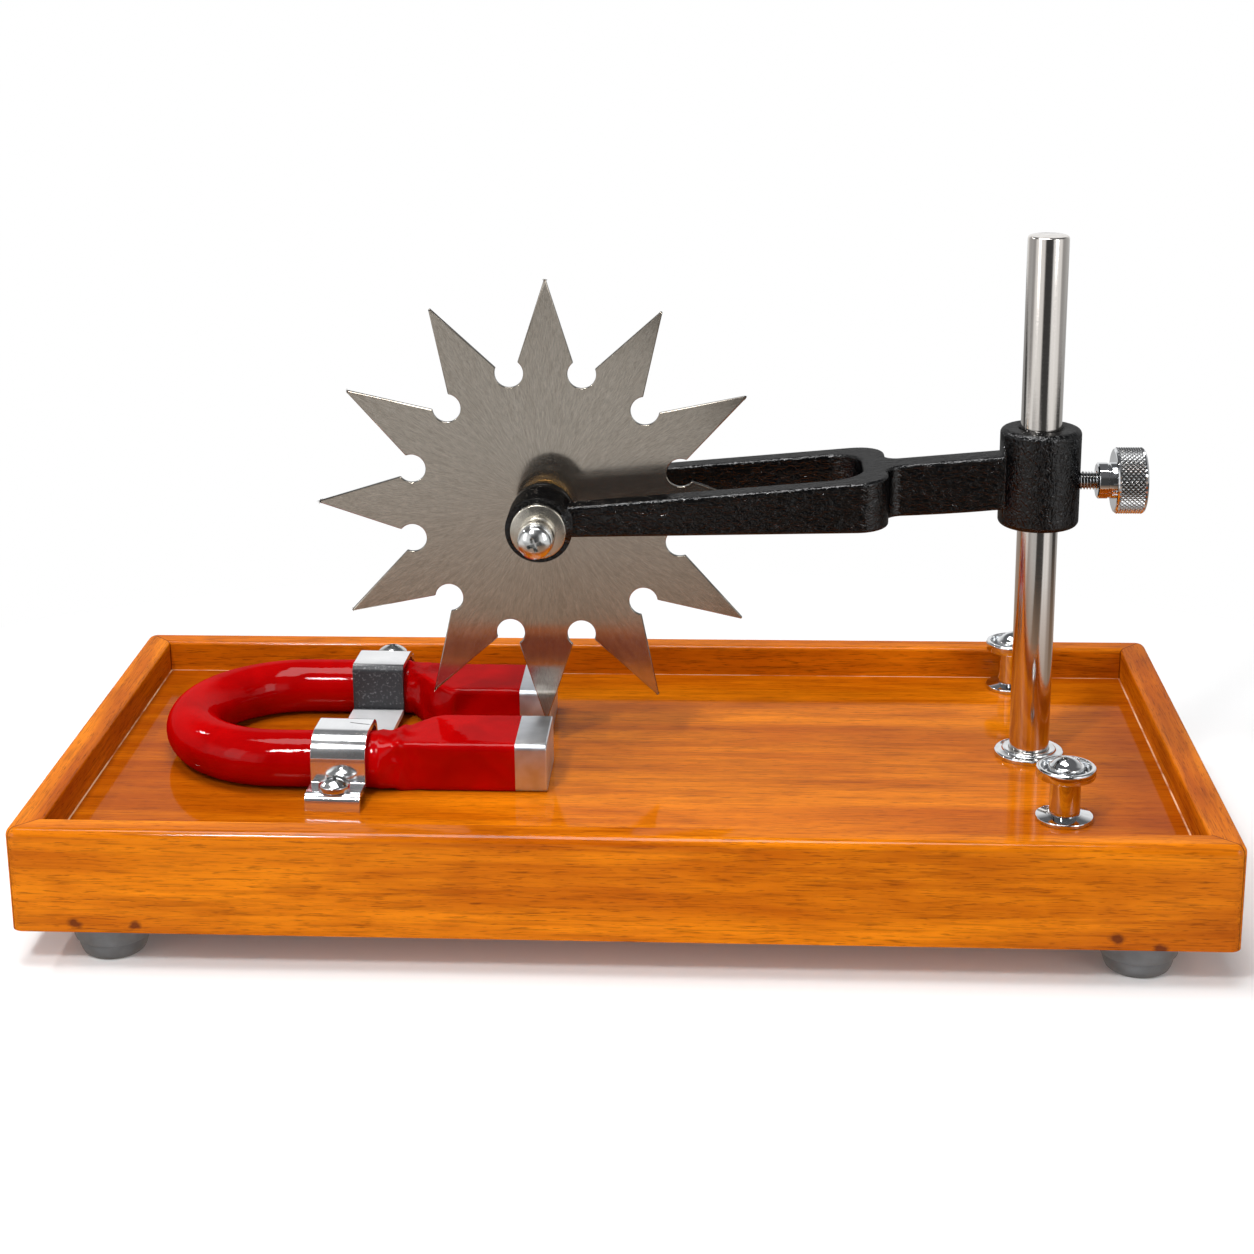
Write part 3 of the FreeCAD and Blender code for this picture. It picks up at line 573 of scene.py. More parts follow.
post_flange = turn_piece("post_flange", [
    (2.02, 0.0), (7.1, 0.0), (7.3, 0.2), (7.3, 0.9), (7.18, 1.15), (6.9, 1.28), (4.7, 1.62),
    (4.35, 1.74), (4.1, flange_height), (2.02, flange_height),
], sides=80, hollow=True)
ease_edges(post_flange, 0.06, angle=20)
collar = turn_piece("post_collar", [
    (2.06, 0.0), (3.75, 0.0), (3.9, 0.15), (3.9, 9.65), (3.75, collar_height),
    (2.06, collar_height),
], hollow=True)
ease_edges(collar, 0.06)
thumb_nut = turn_piece("thumb_nut", [
    (2.06, 0.0), (7.0, 0.0), (7.35, 0.15), (7.5, 0.5), (7.5, 2.2), (7.38, 2.58), (7.1, 2.78),
    (6.6, 2.8), (6.35, 2.7), (6.25, 2.45), (6.1, 1.3), (4.75, 1.2), (4.6, 1.35), (4.55, 2.7),
    (4.4, 2.95), (4.0, 3.0), *dome_steps(3.8, 3.15, 5.2), (0.2, 4.3), (2.06, 4.3),
], sides=96, hollow=True)
ease_edges(thumb_nut, 0.06, angle=30)
for side, (x, y) in post_places.items():
    set_out(post_flange, chrome, "base", "chrome", "post_flanges" if side == "front" else None,
            [("post_flange_" + side, (x, y, board_top))])
    set_out(collar, chrome, side + "_post_collar", "chrome", f"post_{side}_collar",
            [("turned_collar_" + side, (x, y, collar_foot))])
    set_out(thumb_nut, chrome, side + "_post_nut", "chrome", f"post_{side}_thumb_nut",
            [("capped_nut_" + side, (x, y, nut_foot))])
for pattern in (post_flange, collar, thumb_nut):
    bpy.data.objects.remove(pattern)


# ---- horseshoe magnet ----
# A round steel bar bent to a U, its ends pressed to rectangular poles, and dipped in red
# enamel that stops short of the bare ground pole ends and has gathered at the pressed taper.

enamel, shader = new_material("red_enamel", {
    "Roughness": 0.4, "Specular IOR Level": 0.0, "Coat Weight": 0.06, "Coat Roughness": 0.03,
    "Coat IOR": 2.5,
})
pool = noise(enamel, (60, 60, 60), (2, 3, 4), 3.0, 0.4)
feed(mix(span(pool, 0.3, 0.7), seen(144, 0, 1), seen(178, 2, 3)), shader, "Base Color")
sag = noise(enamel, (150, 150, 150), (8, 1, 1), 3.0, 0.6)
feed(relief(sag, 0.25, 0.5), shader, "Coat Normal")
pole_steel = worn_finish(
    "ground_pole", {"Metallic": 1.0, "Roughness": 0.32},
    cloud=((140, 140, 140), (6, 2, 0), 4.0),
    tones=(0.3, 0.7, (186, 190, 196), (214, 218, 223)),
    gloss=(0.3, 0.7, 0.34, 0.5),
    marks=((300, 300, 2600), (1, 0, 0), 3.0, 0.3), depth=0.02, strength=0.5)

bar_radius = 7.5
bar_z = board_top + bar_radius
bend_x = -92.0
limb_offset = 28.0
pole_inner = 9.0
pole_outer = 32.0
pole_middle = (pole_inner + pole_outer) / 2
pole_top = 41.4
pole_corner = 1.6
bare_width = 22.9
bare_height = 13.36
bare_round = 1.55
bare_overlap = 0.4
enamel_end = {"front": -28.4, "back": -30.8}
pole_end = {"front": -20.0, "back": -22.0}
press_start = -67.0
outer_taper = (-65.5, -57.0)
inner_taper = (-63.0, -48.5)
core_drop = 0.8
lip_x = -64.2
roll_x = -59.0
thickest_enamel = 0.95
enamel_edge = (1.6, 0.2)
limb_ring = 64
corner_share = 3


def pressed_outline(number, low, high):
    """A point of the rounded rectangle that one vertex of the round bar is pressed to."""
    centre_y, centre_z = (low + high) / 2, (board_top + pole_top) / 2
    half_y, half_z = (high - low) / 2 - pole_corner, (pole_top - board_top) / 2 - pole_corner
    quarter, step = divmod(number, limb_ring // 4)
    step -= limb_ring // 8
    side_y = 1 if quarter in (0, 3) else -1
    side_z = 1 if quarter in (0, 1) else -1
    if abs(step) <= corner_share:
        angle = math.radians(45 + 90 * quarter + 45 * step / corner_share)
        return (centre_y + side_y * half_y + pole_corner * math.cos(angle),
                centre_z + side_z * half_z + pole_corner * math.sin(angle))
    run = (abs(step) - corner_share) / (limb_ring // 8 - corner_share)
    on_flat_top = (step > 0) == (quarter in (0, 2))
    if on_flat_top:
        return (centre_y + side_y * half_y * (1 - run),
                centre_z + side_z * (half_z + pole_corner))
    return (centre_y + side_y * (half_y + pole_corner), centre_z + side_z * half_z * (1 - run))


def ease(value, start, end):
    share = min(1.0, max(0.0, (value - start) / (end - start)))
    return share * share * (3 - 2 * share)


def hump(value, place, width):
    return math.exp(-((value - place) / width) ** 2)


def gathered_enamel(x, y, z, side, out):
    """How thick the dip stands at a point: a lip and a roll on the taper, and drips on it."""
    waver = noise_at(Vector((x * 0.3, y * 0.3, z * 0.3)))
    roll = roll_x + 1.6 * noise_at(Vector((side * 7.0, y * 0.22, z * 0.22)))
    past_taper = ease(x, -57.0, -51.0)
    swell = 0.6 * hump(x, roll, 1.0) * (0.6 + 0.8 * waver)
    swell += 0.6 * waver * ease(x, press_start, -63.0) * (1 - past_taper)
    swell += 0.3 * hump(x, lip_x, 0.8) * (0.5 + 0.8 * waver)
    swell += 0.07 * waver * past_taper
    if side > 0 and out.y < 0:
        drip = 0.6 + 0.9 * noise_at(Vector((x * 0.45, 3.0, 1.0)))
        swell += 0.5 * hump(out.z, 0.62, 0.16) * ease(x, -62.0, -57.0) * drip
    return min(swell, thickest_enamel)


def press(co):
    """Where a point of the straight round limb goes when its end is pressed to a pole."""
    x, y, z = (part / mm for part in co)
    side = -1 if y < middle_y else 1
    limb_y = middle_y + side * limb_offset
    number = round(math.atan2(z - bar_z, y - limb_y) / (2 * math.pi) * limb_ring) % limb_ring
    low, high = sorted((middle_y + side * pole_inner, middle_y + side * pole_outer))
    flat_y, flat_z = pressed_outline(number, low, high)
    inward = 0.5 - 0.5 * side * (y - limb_y) / bar_radius
    early, late = ease(x, *outer_taper), ease(x, *inner_taper)
    share_y = early + (late - early) * inward
    y += (flat_y - y) * share_y
    z += (flat_z - z) * early
    core = Vector((x, limb_y + (middle_y + side * pole_middle - limb_y) * late,
                   bar_z - core_drop * early))
    out = Vector((0, y - core.y, z - core.z)).normalized()
    thin_from, thin_to = (enamel_end["front" if side < 0 else "back"] - short
                          for short in enamel_edge)
    swell = gathered_enamel(x, y, z, side, out) * (1 - ease(x, thin_from, thin_to))
    y += out.y * swell
    z = max(board_top, z + out.z * swell)
    return Vector((x * mm, y * mm, z * mm))


magnet = begin("enamelled_magnet", bpy.ops.mesh.primitive_circle_add, vertices=limb_ring,
               radius=bar_radius * mm, rotation=(0, math.pi / 2, 0),
               location=(bend_x * mm, (middle_y - limb_offset) * mm, bar_z * mm))
with editing():
    bpy.ops.mesh.spin(steps=48, angle=math.pi, axis=(0, 0, 1),
                      center=(bend_x * mm, middle_y * mm, bar_z * mm))
    for side in ("back", "front"):
        if side == "front":
            pick(magnet, "verts", lambda vert: abs(vert.co.x - bend_x * mm) < 0.01 * mm
                 and vert.co.y < 0)
        to_taper, taper = 25.0, 20.0
        rest = enamel_end[side] - bend_x - to_taper - taper
        for length, count in ((to_taper, 5), (taper, 34), (rest, 12)):
            for step in range(count):
                pull(length / count, 0, 0)
    close_up()
for vert in magnet.data.vertices:
    if vert.co.x > press_start * mm:
        vert.co = press(vert.co)
smooth_by_angle(60)
finish_piece(magnet, enamel, "base", "red_enamel", "horseshoe_magnet")

for side, name in ((-1, "front"), (1, "back")):
    covered = enamel_end[name] - bare_overlap
    pole = begin("bare_pole_" + name, bpy.ops.mesh.primitive_cube_add,
                 ((pole_end[name] - covered) * mm, bare_width * mm, bare_height * mm), size=1,
                 location=((covered + pole_end[name]) / 2 * mm,
                           (middle_y + side * pole_middle) * mm, (board_top + pole_top) / 2 * mm))
    with editing():
        pick(pole, "edges", lambda edge: abs(edge.verts[0].co.x - edge.verts[1].co.x) > 5 * mm)
        bpy.ops.mesh.bevel(offset=bare_round * mm, segments=5)
    ease_edges(pole, 0.5, segments=3, angle=40)
    finish_piece(pole, pole_steel, "base", "plated_steel")


# ---- strap over the magnet ----
# One strip of plated mild steel folded by hand over both limbs, its ends bent out to ears
# and turned down to the board, and held by a screw through each ear. Its leg inside the back
# limb is painted dark and dull, a painted shade flecked with lighter specks; its low run between
# the limbs is made less metallic so that it shows as painted light grey; and a short graze
# crosses its top over the front limb.

strap_plate, shader = new_material("strap_plate", {})
on_strap = place_of(strap_plate)
depth_in = apart(on_strap)[1]
wear = noise(strap_plate, (90, 90, 90), (3, 1, 2), 4.0, 0.4)
hairline = noise(strap_plate, (2600, 120, 2600), (0, 4, 1), 2.0)
specks = noise(strap_plate, (1400, 1400, 1400), (2, 0, 5))
graze_start = (-72.6 * mm, -19.6 * mm, 0)
graze_way = (0.944, -0.331, 0)
graze_side = (0.331, 0.944, 0)
graze_bow = 14.0


def between(low, high):
    """One where the strap lies between two depths in mm, and nothing beyond them."""
    return sums("MULTIPLY", span(depth_in, low * mm, (low + 0.4) * mm),
                span(depth_in, (high - 0.4) * mm, high * mm, 1.0, 0.0))


# Painted shade: the leg inside the back limb is darker and duller, flecked with lighter specks.
shaded_inner_leg = between(23.4, 26.3)
# Painted light: the low run between the limbs is made less metallic, so that it shows light grey.
low_run = between(-13.0, 23.8)
grazed = vectors("SUBTRACT", on_strap, graze_start)
run = vectors("DOT_PRODUCT", grazed, graze_way)
bow = sums("MULTIPLY", sums("MULTIPLY", run, run), graze_bow)
off_line = gap(vectors("DOT_PRODUCT", grazed, graze_side), bow)
graze = sums("MULTIPLY", span(off_line, 0.17 * mm, 0.27 * mm, 1.0, 0.0),
             sums("MULTIPLY", span(run, 0.0, 0.4 * mm), span(run, 5.2 * mm, 6.0 * mm, 1.0, 0.0)))
bright = mix(span(wear, 0.35, 0.7), seen(226, 227, 229), seen(242, 243, 244))
bright = mix(graze, bright, seen(36, 36, 38))
inner_leg_shade = mix(span(specks, 0.56, 0.7, 0.0, 0.6), seen(46, 47, 50), seen(128, 129, 132))
feed(mix(shaded_inner_leg, bright, inner_leg_shade), shader, "Base Color")
dulled = sums("ADD", sums("MULTIPLY", shaded_inner_leg, 0.74), sums("MULTIPLY", low_run, 0.6))
feed(sums("SUBTRACT", 0.94, dulled), shader, "Metallic")
feed(sums("ADD", span(wear, 0.3, 0.75, 0.08, 0.15), sums("MULTIPLY", shaded_inner_leg, 0.3)), shader,
     "Roughness")
feed(relief(hairline, 0.01, 0.25), shader, "Normal")

strap_half_width = 7.2
strap_wall = 1.5
strap_place = (-72.7, middle_y, board_top)
strap_skew = -2.4
ear_start = 36.0
ear_narrowing = 1.5
blank_depth = 1.0
strap_folds = (
    (-44.45, 0.0, 0.0), (-44.45, 3.0, 1.0), (-35.85, 3.0, 1.6), (-35.85, 15.35, 5.5),
    (-20.15, 15.35, 3.5), (-20.15, 2.6, 0.8), (20.15, 2.6, 0.8), (20.15, 15.35, 0.6),
    (35.85, 15.35, 5.0), (35.85, 10.4, 1.2), (44.45, 10.4, 1.0), (44.45, 0.0, 0.0),
)
strap = begin("folded_strap", bpy.ops.mesh.primitive_plane_add,
              (2 * strap_half_width * mm, blank_depth * mm, 1), size=1)
with editing():
    pick(strap, "verts", lambda vert: vert.co.y > 0)
    bpy.ops.mesh.delete(type="VERT")
    bpy.ops.mesh.select_all(action="SELECT")
    bpy.ops.transform.translate(value=(0, (strap_folds[0][0] + blank_depth / 2) * mm, 0))
    for before, after in zip(strap_folds, strap_folds[1:]):
        pull(0, after[0] - before[0], after[1] - before[1])
    for y, z, radius in strap_folds[1:-1]:
        pick(strap, "edges", lambda edge: all(
            abs(vert.co.y - y * mm) < 0.01 * mm and abs(vert.co.z - z * mm) < 0.01 * mm
            for vert in edge.verts))
        bpy.ops.mesh.bevel(offset=radius * mm, segments=10 if radius > 2 else 6)
wall = strap.modifiers.new("wall", "SOLIDIFY")
wall.thickness = strap_wall * mm
wall.offset = 1.0
bpy.ops.object.modifier_apply(modifier=wall.name)
smooth_by_angle(35)
ease_edges(strap, 0.22, angle=50)
for vert in strap.data.vertices:
    if vert.co.y > ear_start * mm and vert.co.x > 0:
        vert.co.x -= ear_narrowing * mm
strap.rotation_euler = (0, 0, math.radians(strap_skew))
strap.location = [part * mm for part in strap_place]
bpy.ops.object.transform_apply(location=True, rotation=True, scale=True)
finish_piece(strap, strap_plate, "base", "plated_steel", "magnet_strap")


# ---- fork arm ----
# One iron casting with a boss bored for the rod and two prongs with eyes for the axle. It is
# finished in glossy black paint that has wrinkled over the rough cast skin.

boss_start_x = 97.0 * mm
black_paint, shader = new_material("black_paint", {
    "Roughness": 0.5, "Specular IOR Level": 0.0, "Coat Weight": 0.2, "Coat Roughness": 0.07,
    "Coat IOR": 2.5,
})
along_bar = noise(black_paint, (420, 640, 780), (0, 0, 0), 1.5, 2.0)
up_boss = noise(black_paint, (700, 700, 460), (5, 2, 0), 1.5, 2.2)
lumps = noise(black_paint, (160, 160, 160), (3, 0, 0), 3.0, 0.5)
on_boss = span(apart(place_of(black_paint))[0], boss_start_x, boss_start_x + 1.5 * mm)
wrinkles = node("Mix", {0: on_boss, 2: along_bar, 3: up_boss}).outputs[0]
feed(mix(span(wrinkles, 0.35, 0.65), seen(1, 1, 2), seen(9, 9, 10)), shader, "Base Color")
skin = relief(wrinkles, 0.36, 0.8, relief(lumps, 0.12, 0.5))
feed(skin, shader, "Normal")
feed(skin, shader, "Coat Normal")
arm = smooth_copy("fork_arm", "painted_arm")
finish_piece(arm, black_paint, "arm", "black_paint", "fork_arm")


# ---- thumb screw ----
# A chromed screw that clamps the arm on the rod: a cut thread, a short turned collar, and a
# knob with a coarse diamond knurl rolled into its rim.

screw_z = 104.8
stud_place = (113.65, middle_y, screw_z)
knob_place = (123.1, middle_y, screw_z)


def cut_chrome(name, groove, crest):
    """Chrome that is dull and dark in the grooves, at a low radius from the screw's axis; the
    dark there is painted shade.
    """
    material, shader = new_material(name, {"Metallic": 1.0})
    offset = vectors("SUBTRACT", place_of(material, (0, 1, 1)), (0, middle_y * mm, screw_z * mm))
    raised = span(vectors("LENGTH", offset), groove * mm, crest * mm)
    film = noise(material, (600, 600, 600), (1, 2, 3), 4.0, 0.3)
    # Painted shade: a darker colour in the grooves of the knurl and the thread.
    feed(mix(raised, seen(134, 132, 129), seen(228, 230, 232)), shader, "Base Color")
    feed(span(film, 0.3, 0.7, 0.06, 0.16), shader, "Roughness")
    return material


knurl_sides = 84
knurl_rows = 10
knurl_radius = 8.75
knurl_groove, knurl_crest = 8.2, 8.55
groove_share = 0.935
knurl_low, knurl_high = 5.2, 11.4
knurl_step = (knurl_high - knurl_low) / knurl_rows
knob = turn_piece("knurled_knob", [
    (2.52, 0.0), (4.35, 0.0), (4.7, 0.3), (4.75, 0.4), (4.75, 2.6), (4.5, 2.8), (4.5, 3.2),
    (4.75, 3.4), (4.75, 4.3), (7.9, 4.3), (8.25, 4.45), (8.5, 4.8),
    *((knurl_radius, knurl_low + knurl_step * row) for row in range(knurl_rows + 1)),
    (8.5, 11.8), (8.2, 12.15), (7.8, 12.3), (0.3, 12.3), (0.3, 8.32), (2.52, 8.32),
], sides=knurl_sides, hollow=True)


def in_groove(vert):
    """Every other vertex of the knob's rim, like the black squares of a board."""
    row = (vert.co.z / mm - knurl_low) / knurl_step
    around = math.atan2(vert.co.y, vert.co.x) / (2 * math.pi) * knurl_sides
    on_rim = math.hypot(vert.co.x, vert.co.y) > (knurl_radius - 0.1) * mm
    return on_rim and (round(row) + round(around)) % 2 == 0


choose(knob)
with editing():
    pick(knob, "verts", in_groove)
    bpy.ops.mesh.vert_connect()
    bpy.ops.transform.resize(value=(groove_share, groove_share, 1))
smooth_by_angle(14)
set_down(knob, knob_place, (1, 0, 0))
finish_piece(knob, chrome, "thumb_knob", "chrome", "thumb_screw_knob")
knob.data.materials.append(cut_chrome("knurled_chrome", knurl_groove, knurl_crest))
for face in knob.data.polygons:
    off_axis = math.hypot(face.center.y - middle_y * mm, face.center.z - screw_z * mm)
    along = face.center.x / mm - knob_place[0]
    if off_axis > knurl_groove * mm and knurl_low - 0.1 < along < knurl_high + 0.1:
        face.material_index = 1

thread_pitch = 0.8
thread_turns = 6
thread_depth = 0.46
thread_radius = 2.04
thread_start = 4.9
thread = begin("thread", bpy.ops.mesh.primitive_circle_add, vertices=3,
               radius=thread_depth * mm, rotation=(math.pi / 2, math.pi / 2, 0),
               location=(thread_radius * mm, 0, thread_start * mm))
helix = thread.modifiers.new("helix", "SCREW")
helix.screw_offset = thread_pitch * mm
helix.iterations = thread_turns
helix.steps = helix.render_steps = 48
bpy.ops.object.modifier_apply(modifier=helix.name)
with editing():
    close_up()
stud = turn_piece("threaded_stud", [(1.7, 0.0), (2.48, 0.8), (2.48, 4.7), (1.95, 5.0),
                                    (1.95, 9.5), (2.48, 9.9), (2.48, 17.7)], sides=48)
choose(stud)
thread.select_set(True)
bpy.ops.object.join()
smooth_by_angle(30)
set_down(stud, stud_place, (1, 0, 0))
finish_piece(stud, cut_chrome("threaded_chrome", 1.95, 2.35), "thumb_stud", "chrome",
             "thumb_screw_stud")


# ---- star wheel ----
# Twelve pointed teeth and their keyhole gullets, pressed from thin sheet steel. The faces are
# polished outwards from the hub, which leaves fine marks like the rays of a wheel.

wheel_centre = (-21.7, middle_y, 97.5)
wheel_steel, shader = new_material("wheel_steel", {"Metallic": 0.93, "Anisotropic": 0.85})
from_centre = place_of(wheel_steel, (1, 0, 1), (-wheel_centre[0] * mm, 0, -wheel_centre[2] * mm))
outwards = vectors("NORMALIZE", from_centre)
reach = vectors("LENGTH", from_centre)
across = vectors("CROSS_PRODUCT", outwards, (0, 1, 0))
across = node("VectorTransform", {0: across}, vector_type="VECTOR", convert_from="OBJECT",
              convert_to="WORLD").outputs[0]
feed(across, shader, "Tangent")


def rays(around, along, shift=0.0):
    """Marks that run out from the hub, fine around the wheel and long along its radius."""
    turned = vectors("MULTIPLY", outwards, (around, around, around))
    run = node("CombineXYZ", {1: sums("ADD", sums("MULTIPLY", reach, along), shift)}).outputs[0]
    return node("TexNoise", {
        "Vector": vectors("ADD", turned, run), "Scale": 1.0, "Detail": 3.0, "Roughness": 0.6,
    }).outputs[0]


fine_rays = rays(190, 620)
broad_rays = rays(40, 200, 5.0)
sheet_face = (0.4 * mm, 0.46 * mm)
off_middle = gap(apart(place_of(wheel_steel))[1], wheel_centre[1] * mm)
polish = mix(span(broad_rays, 0.3, 0.7), seen(170, 161, 149), seen(186, 178, 167))
polish = mix(span(fine_rays, 0.45, 0.65, 0.0, 0.4), polish, seen(118, 110, 99))
# The rim of the sheet between its two faces is painted near-black: a painted shade for the dark
# outline along the teeth.
feed(mix(span(off_middle, *sheet_face, 1.0, 0.0), polish, seen(38, 36, 34)), shader, "Base Color")
feed(span(broad_rays, 0.3, 0.7, 0.11, 0.15), shader, "Roughness")
feed(relief(fine_rays, 0.006, 0.25), shader, "Normal")
wheel = smooth_copy("star_wheel", "polished_wheel")
ease_edges(wheel, 0.22, segments=1, angle=50, clamp=False)
even_shading(wheel)
finish_piece(wheel, wheel_steel, "wheel", "wheel_steel", "star_wheel")


# ---- axle, and what it carries ----
# A ground axle turns in the eyes of the fork. On each side of the wheel it carries a brass hub
# collar and a black spacer inside the fork, and a thick washer, a collar, a spring washer and
# a pan head screw outside it. The heights of their outlines start from the wheel's middle.

nickel = worn_finish(
    "nickel_washer", {"Metallic": 1.0, "Roughness": 0.25},
    cloud=((200, 200, 200), (2, 2, 2), 4.0),
    tones=(0.3, 0.7, (196, 190, 178), (216, 212, 202)),
    gloss=(0.3, 0.7, 0.2, 0.34),
    marks=((700, 60, 700), (0, 0, 0), 2.0), depth=0.012, strength=0.3)
black_bush, shader = new_material("black_bush", {"Specular IOR Level": 0.4})
mould_lines = noise(black_bush, (500, 3000, 500), detail=2.0)
feed(mix(mould_lines, seen(1, 1, 1), seen(6, 6, 7)), shader, "Base Color")
feed(span(mould_lines, 0.3, 0.7, 0.1, 0.2), shader, "Roughness")
paint_node("wheel_axle", rod_steel)

screw_seat = 35.1
screw_turn = 20
hub_collar = turn_piece("hub_collar", [
    (3.02, 0.6), (6.95, 0.6), (7.1, 0.75), (7.1, 7.1), (6.95, 7.3), (6.7, 7.4), (3.02, 7.4),
], sides=72, hollow=True)
spacer = turn_piece("spacer", [
    (3.02, 7.4), (8.1, 7.4), (8.4, 7.65), (8.4, 9.6), (8.2, 9.75), (8.2, 10.0), (8.4, 10.15),
    (8.4, 12.45), (8.1, 12.7), (3.02, 12.7),
], sides=80, hollow=True)
washer = turn_piece("thick_washer", [
    (3.02, 24.3), (6.95, 24.3), (7.2, 24.5), (7.2, 25.8), (7.1, 26.0), (6.9, 26.1), (3.02, 26.1),
], sides=80, hollow=True)
end_collar = turn_piece("end_collar", [
    (3.02, 26.1), (4.7, 26.1), (4.7, 28.9), (4.45, 29.1), (4.45, 29.4), (4.7, 29.6), (4.7, 32.9),
    (4.55, 33.2), (4.3, 33.3), (1.55, 33.3), (1.55, 31.3), (3.02, 31.3),
], hollow=True)
spring = turn_piece("spring_washer", [
    (1.6, 33.3), (4.15, 33.3), (4.4, 33.5), (4.4, 34.0), (4.1, 34.15), (4.1, 34.3), (4.4, 34.45),
    (4.4, 34.9), (4.15, screw_seat), (1.6, screw_seat),
], hollow=True)
for pattern in (hub_collar, spacer, washer, end_collar, spring):
    ease_edges(pattern, 0.05)
axle_screw = pan_head_screw("axle_screw", radius=4.2, height=2.9, shank_radius=1.5,
                            shank_length=3.0)
stack = (
    (hub_collar, "brass_hub", brass, "brass", "wheel_hub_collars"),
    (spacer, "black_spacer", black_bush, "black_paint", "axle_spacers"),
    (washer, "nickel_washer", nickel, "plated_steel", "axle_washers"),
    (end_collar, "nickel_collar", nickel, "brass", "axle_end_collars"),
    (spring, "lock_washer", plated, "plated_steel", "axle_spring_washers"),
    (axle_screw, "axle_end_screw", plated, "plated_steel", "axle_screws"),
)
for pattern, name, material, slot_name, stands_for in stack:
    seat = screw_seat if pattern is axle_screw else 0.0
    sides = [(f"{name}_{side}", (wheel_centre[0], middle_y + way * seat, wheel_centre[2]),
              (0, way, 0), screw_turn) for side, way in (("front", -1), ("back", 1))]
    set_out(pattern, material, "wheel", slot_name, stands_for, sides)
    bpy.data.objects.remove(pattern)


# ---- studio ----
# A pale floor and a white surround, under a broad soft lamp overhead, one at each side, and
# two small ones at the left, in front and behind. The floor is white to the eye and keeps the
# tray's shadow; polished metal mirrors it in bands, and in the tone of the wood near the tray.

floor_glow = 0.06
fade_to_white = (0.19, 0.34)
wood_glow_fade = (0.24, 0.5)
wood_glow = (0.42, 0.28, 0.19, 1.0)
white = (1, 1, 1, 1)
upper_grey = (0.14, 0.14, 0.145, 1.0)
upper_fade = (0.42, 0.62)
floor_levels = (
    (-165, 0.4), (-128, 0.35), (-122, 0.06), (-103, 0.06), (-98, 0.6), (-75, 1.0), (-52, 1.0),
    (-44, 0.45), (-22, 0.64), (5, 0.62), (9, 0.06), (43, 0.06), (49, 1.0), (72, 1.0), (80, 0.5),
    (90, 0.4), (95, 0.06), (112, 0.06), (120, 0.4), (165, 0.5),
)
wall_levels = (
    (-160, 1.0), (-125, 0.5), (-82, 0.4), (-70, 1.0), (-26, 1.0), (-18, 0.06), (18, 0.06),
    (26, 1.0), (70, 1.0), (82, 0.4), (125, 0.5), (160, 1.0),
)


def levels_round(place, levels, bend=0.0):
    """A brightness that changes with the way round the object, in degrees from its front."""
    x, y = apart(place)[:2]
    turn = sums("ARCTAN2", x, sums("MULTIPLY", y, -1.0))
    if bend:
        turn = sums("ADD", turn, span(vectors("LENGTH", place), 0.35, 0.9, 0.0, bend))
    ramp = node("ValToRGB", {0: span(turn, -math.pi, math.pi)})
    stops = ramp.color_ramp.elements
    stops[0].color = (levels[0][1],) * 3 + (1.0,)
    stops[1].color = (levels[-1][1],) * 3 + (1.0,)
    for degrees, level in levels:
        stops.new(degrees / 360 + 0.5).color = (level, level, level, 1.0)
    return ramp.outputs[0]


floor_white, shader = new_material("pale_floor", {"Base Color": seen(236, 236, 236),
                                                  "Roughness": 0.9})
floor_tree = floor_white.node_tree
path = node("LightPath", {}, floor_tree).outputs
away = vectors("LENGTH", place_of(floor_white, (1, 1.3, 0)))
glow = node("Emission", {
    "Color": white, "Strength": sums("MULTIPLY", path["Is Camera Ray"], floor_glow),
}).outputs[0]
lit = node("AddShader", {0: shader.outputs[0], 1: glow}).outputs[0]
plain_white = node("Emission", {"Color": white}, floor_tree).outputs[0]
far = sums("MULTIPLY", path["Is Camera Ray"], span(away, *fade_to_white))
to_eye = node("MixShader", {0: far, 1: lit, 2: plain_white}).outputs[0]
mirrored = sums("MAXIMUM", path["Is Glossy Ray"], path["Is Transmission Ray"])
banded = mix(span(away, *wood_glow_fade, 0.85, 0.0),
             levels_round(place_of(floor_white), floor_levels, bend=0.2), wood_glow)
in_metal = node("Emission", {"Color": banded}).outputs[0]
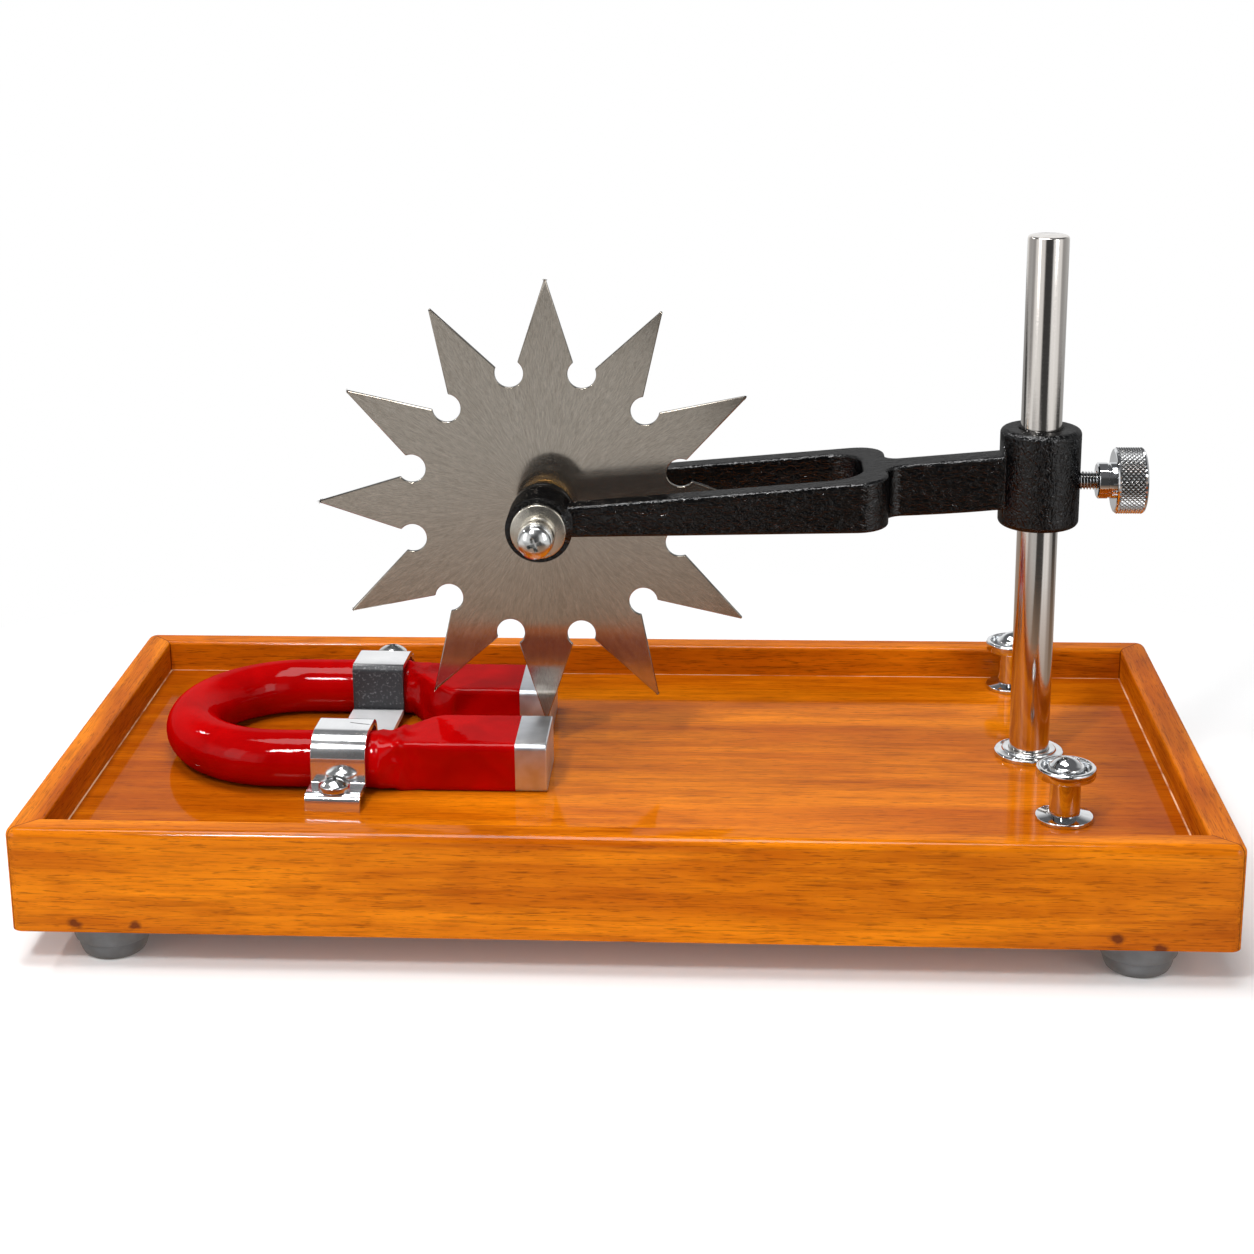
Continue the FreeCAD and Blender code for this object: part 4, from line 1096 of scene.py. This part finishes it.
whole = node("MixShader", {0: mirrored, 1: to_eye, 2: in_metal}).outputs[0]
feed(whole, floor_tree.nodes["Material Output"], "Surface")
floor = begin("studio_floor", bpy.ops.mesh.primitive_plane_add, size=2.6)
floor.data.materials.append(floor_white)

surround = bpy.data.worlds.new("studio_surround")
scene.world = surround
surround.use_nodes = True
direction = node("TexCoord", {}, surround.node_tree).outputs["Generated"]
around = mix(span(apart(direction)[2], *upper_fade), levels_round(direction, wall_levels),
             upper_grey)
to_camera = node("LightPath", {}, surround.node_tree).outputs["Is Camera Ray"]
feed(mix(to_camera, around, white), surround.node_tree.nodes["Background"], "Color")


def soft_lamp(name, place, aim_z, width, height, power):
    """A square lamp with a soft edge to its shadow, aimed at a height over the middle."""
    light = bpy.data.lights.new(name, "AREA")
    light.shape = "RECTANGLE"
    light.size = width
    light.size_y = height
    light.energy = power
    lamp = bpy.data.objects.new(name, light)
    lamp.location = place
    beam = Vector((0, 0, aim_z)) - Vector(place)
    lamp.rotation_euler = beam.to_track_quat("-Z", "Y").to_euler()
    scene.collection.objects.link(lamp)


soft_lamp("overhead_lamp", (-0.1, -0.08, 1.1), 0.05, width=0.8, height=0.45, power=9.7)
soft_lamp("left_lamp", (-0.9, -0.75, 0.5), 0.08, width=0.35, height=0.7, power=1.1)
soft_lamp("right_lamp", (0.85, -0.8, 0.55), 0.08, width=0.3, height=0.7, power=2.1)
soft_lamp("strip_lamp", (-0.28, -0.62, 0.8), 0.06, width=0.08, height=0.16, power=4.2)
soft_lamp("back_lamp", (-0.82, 0.3, 0.7), 0.06, width=0.09, height=0.06, power=2.2)

view = bpy.data.cameras.new("camera")
view.sensor_width = 36.0
view.lens = 66.98
view.shift_x = 0.0494
view.shift_y = -0.1013
view.clip_start = 0.01
camera = bpy.data.objects.new("camera", view)
camera.location = (0.02896, -0.59242, 0.26501)
camera.rotation_euler = [math.radians(angle) for angle in (74.5298, 0.9116, 4.0937)]
scene.collection.objects.link(camera)
scene.camera = camera
scene.view_settings.view_transform = "Standard"
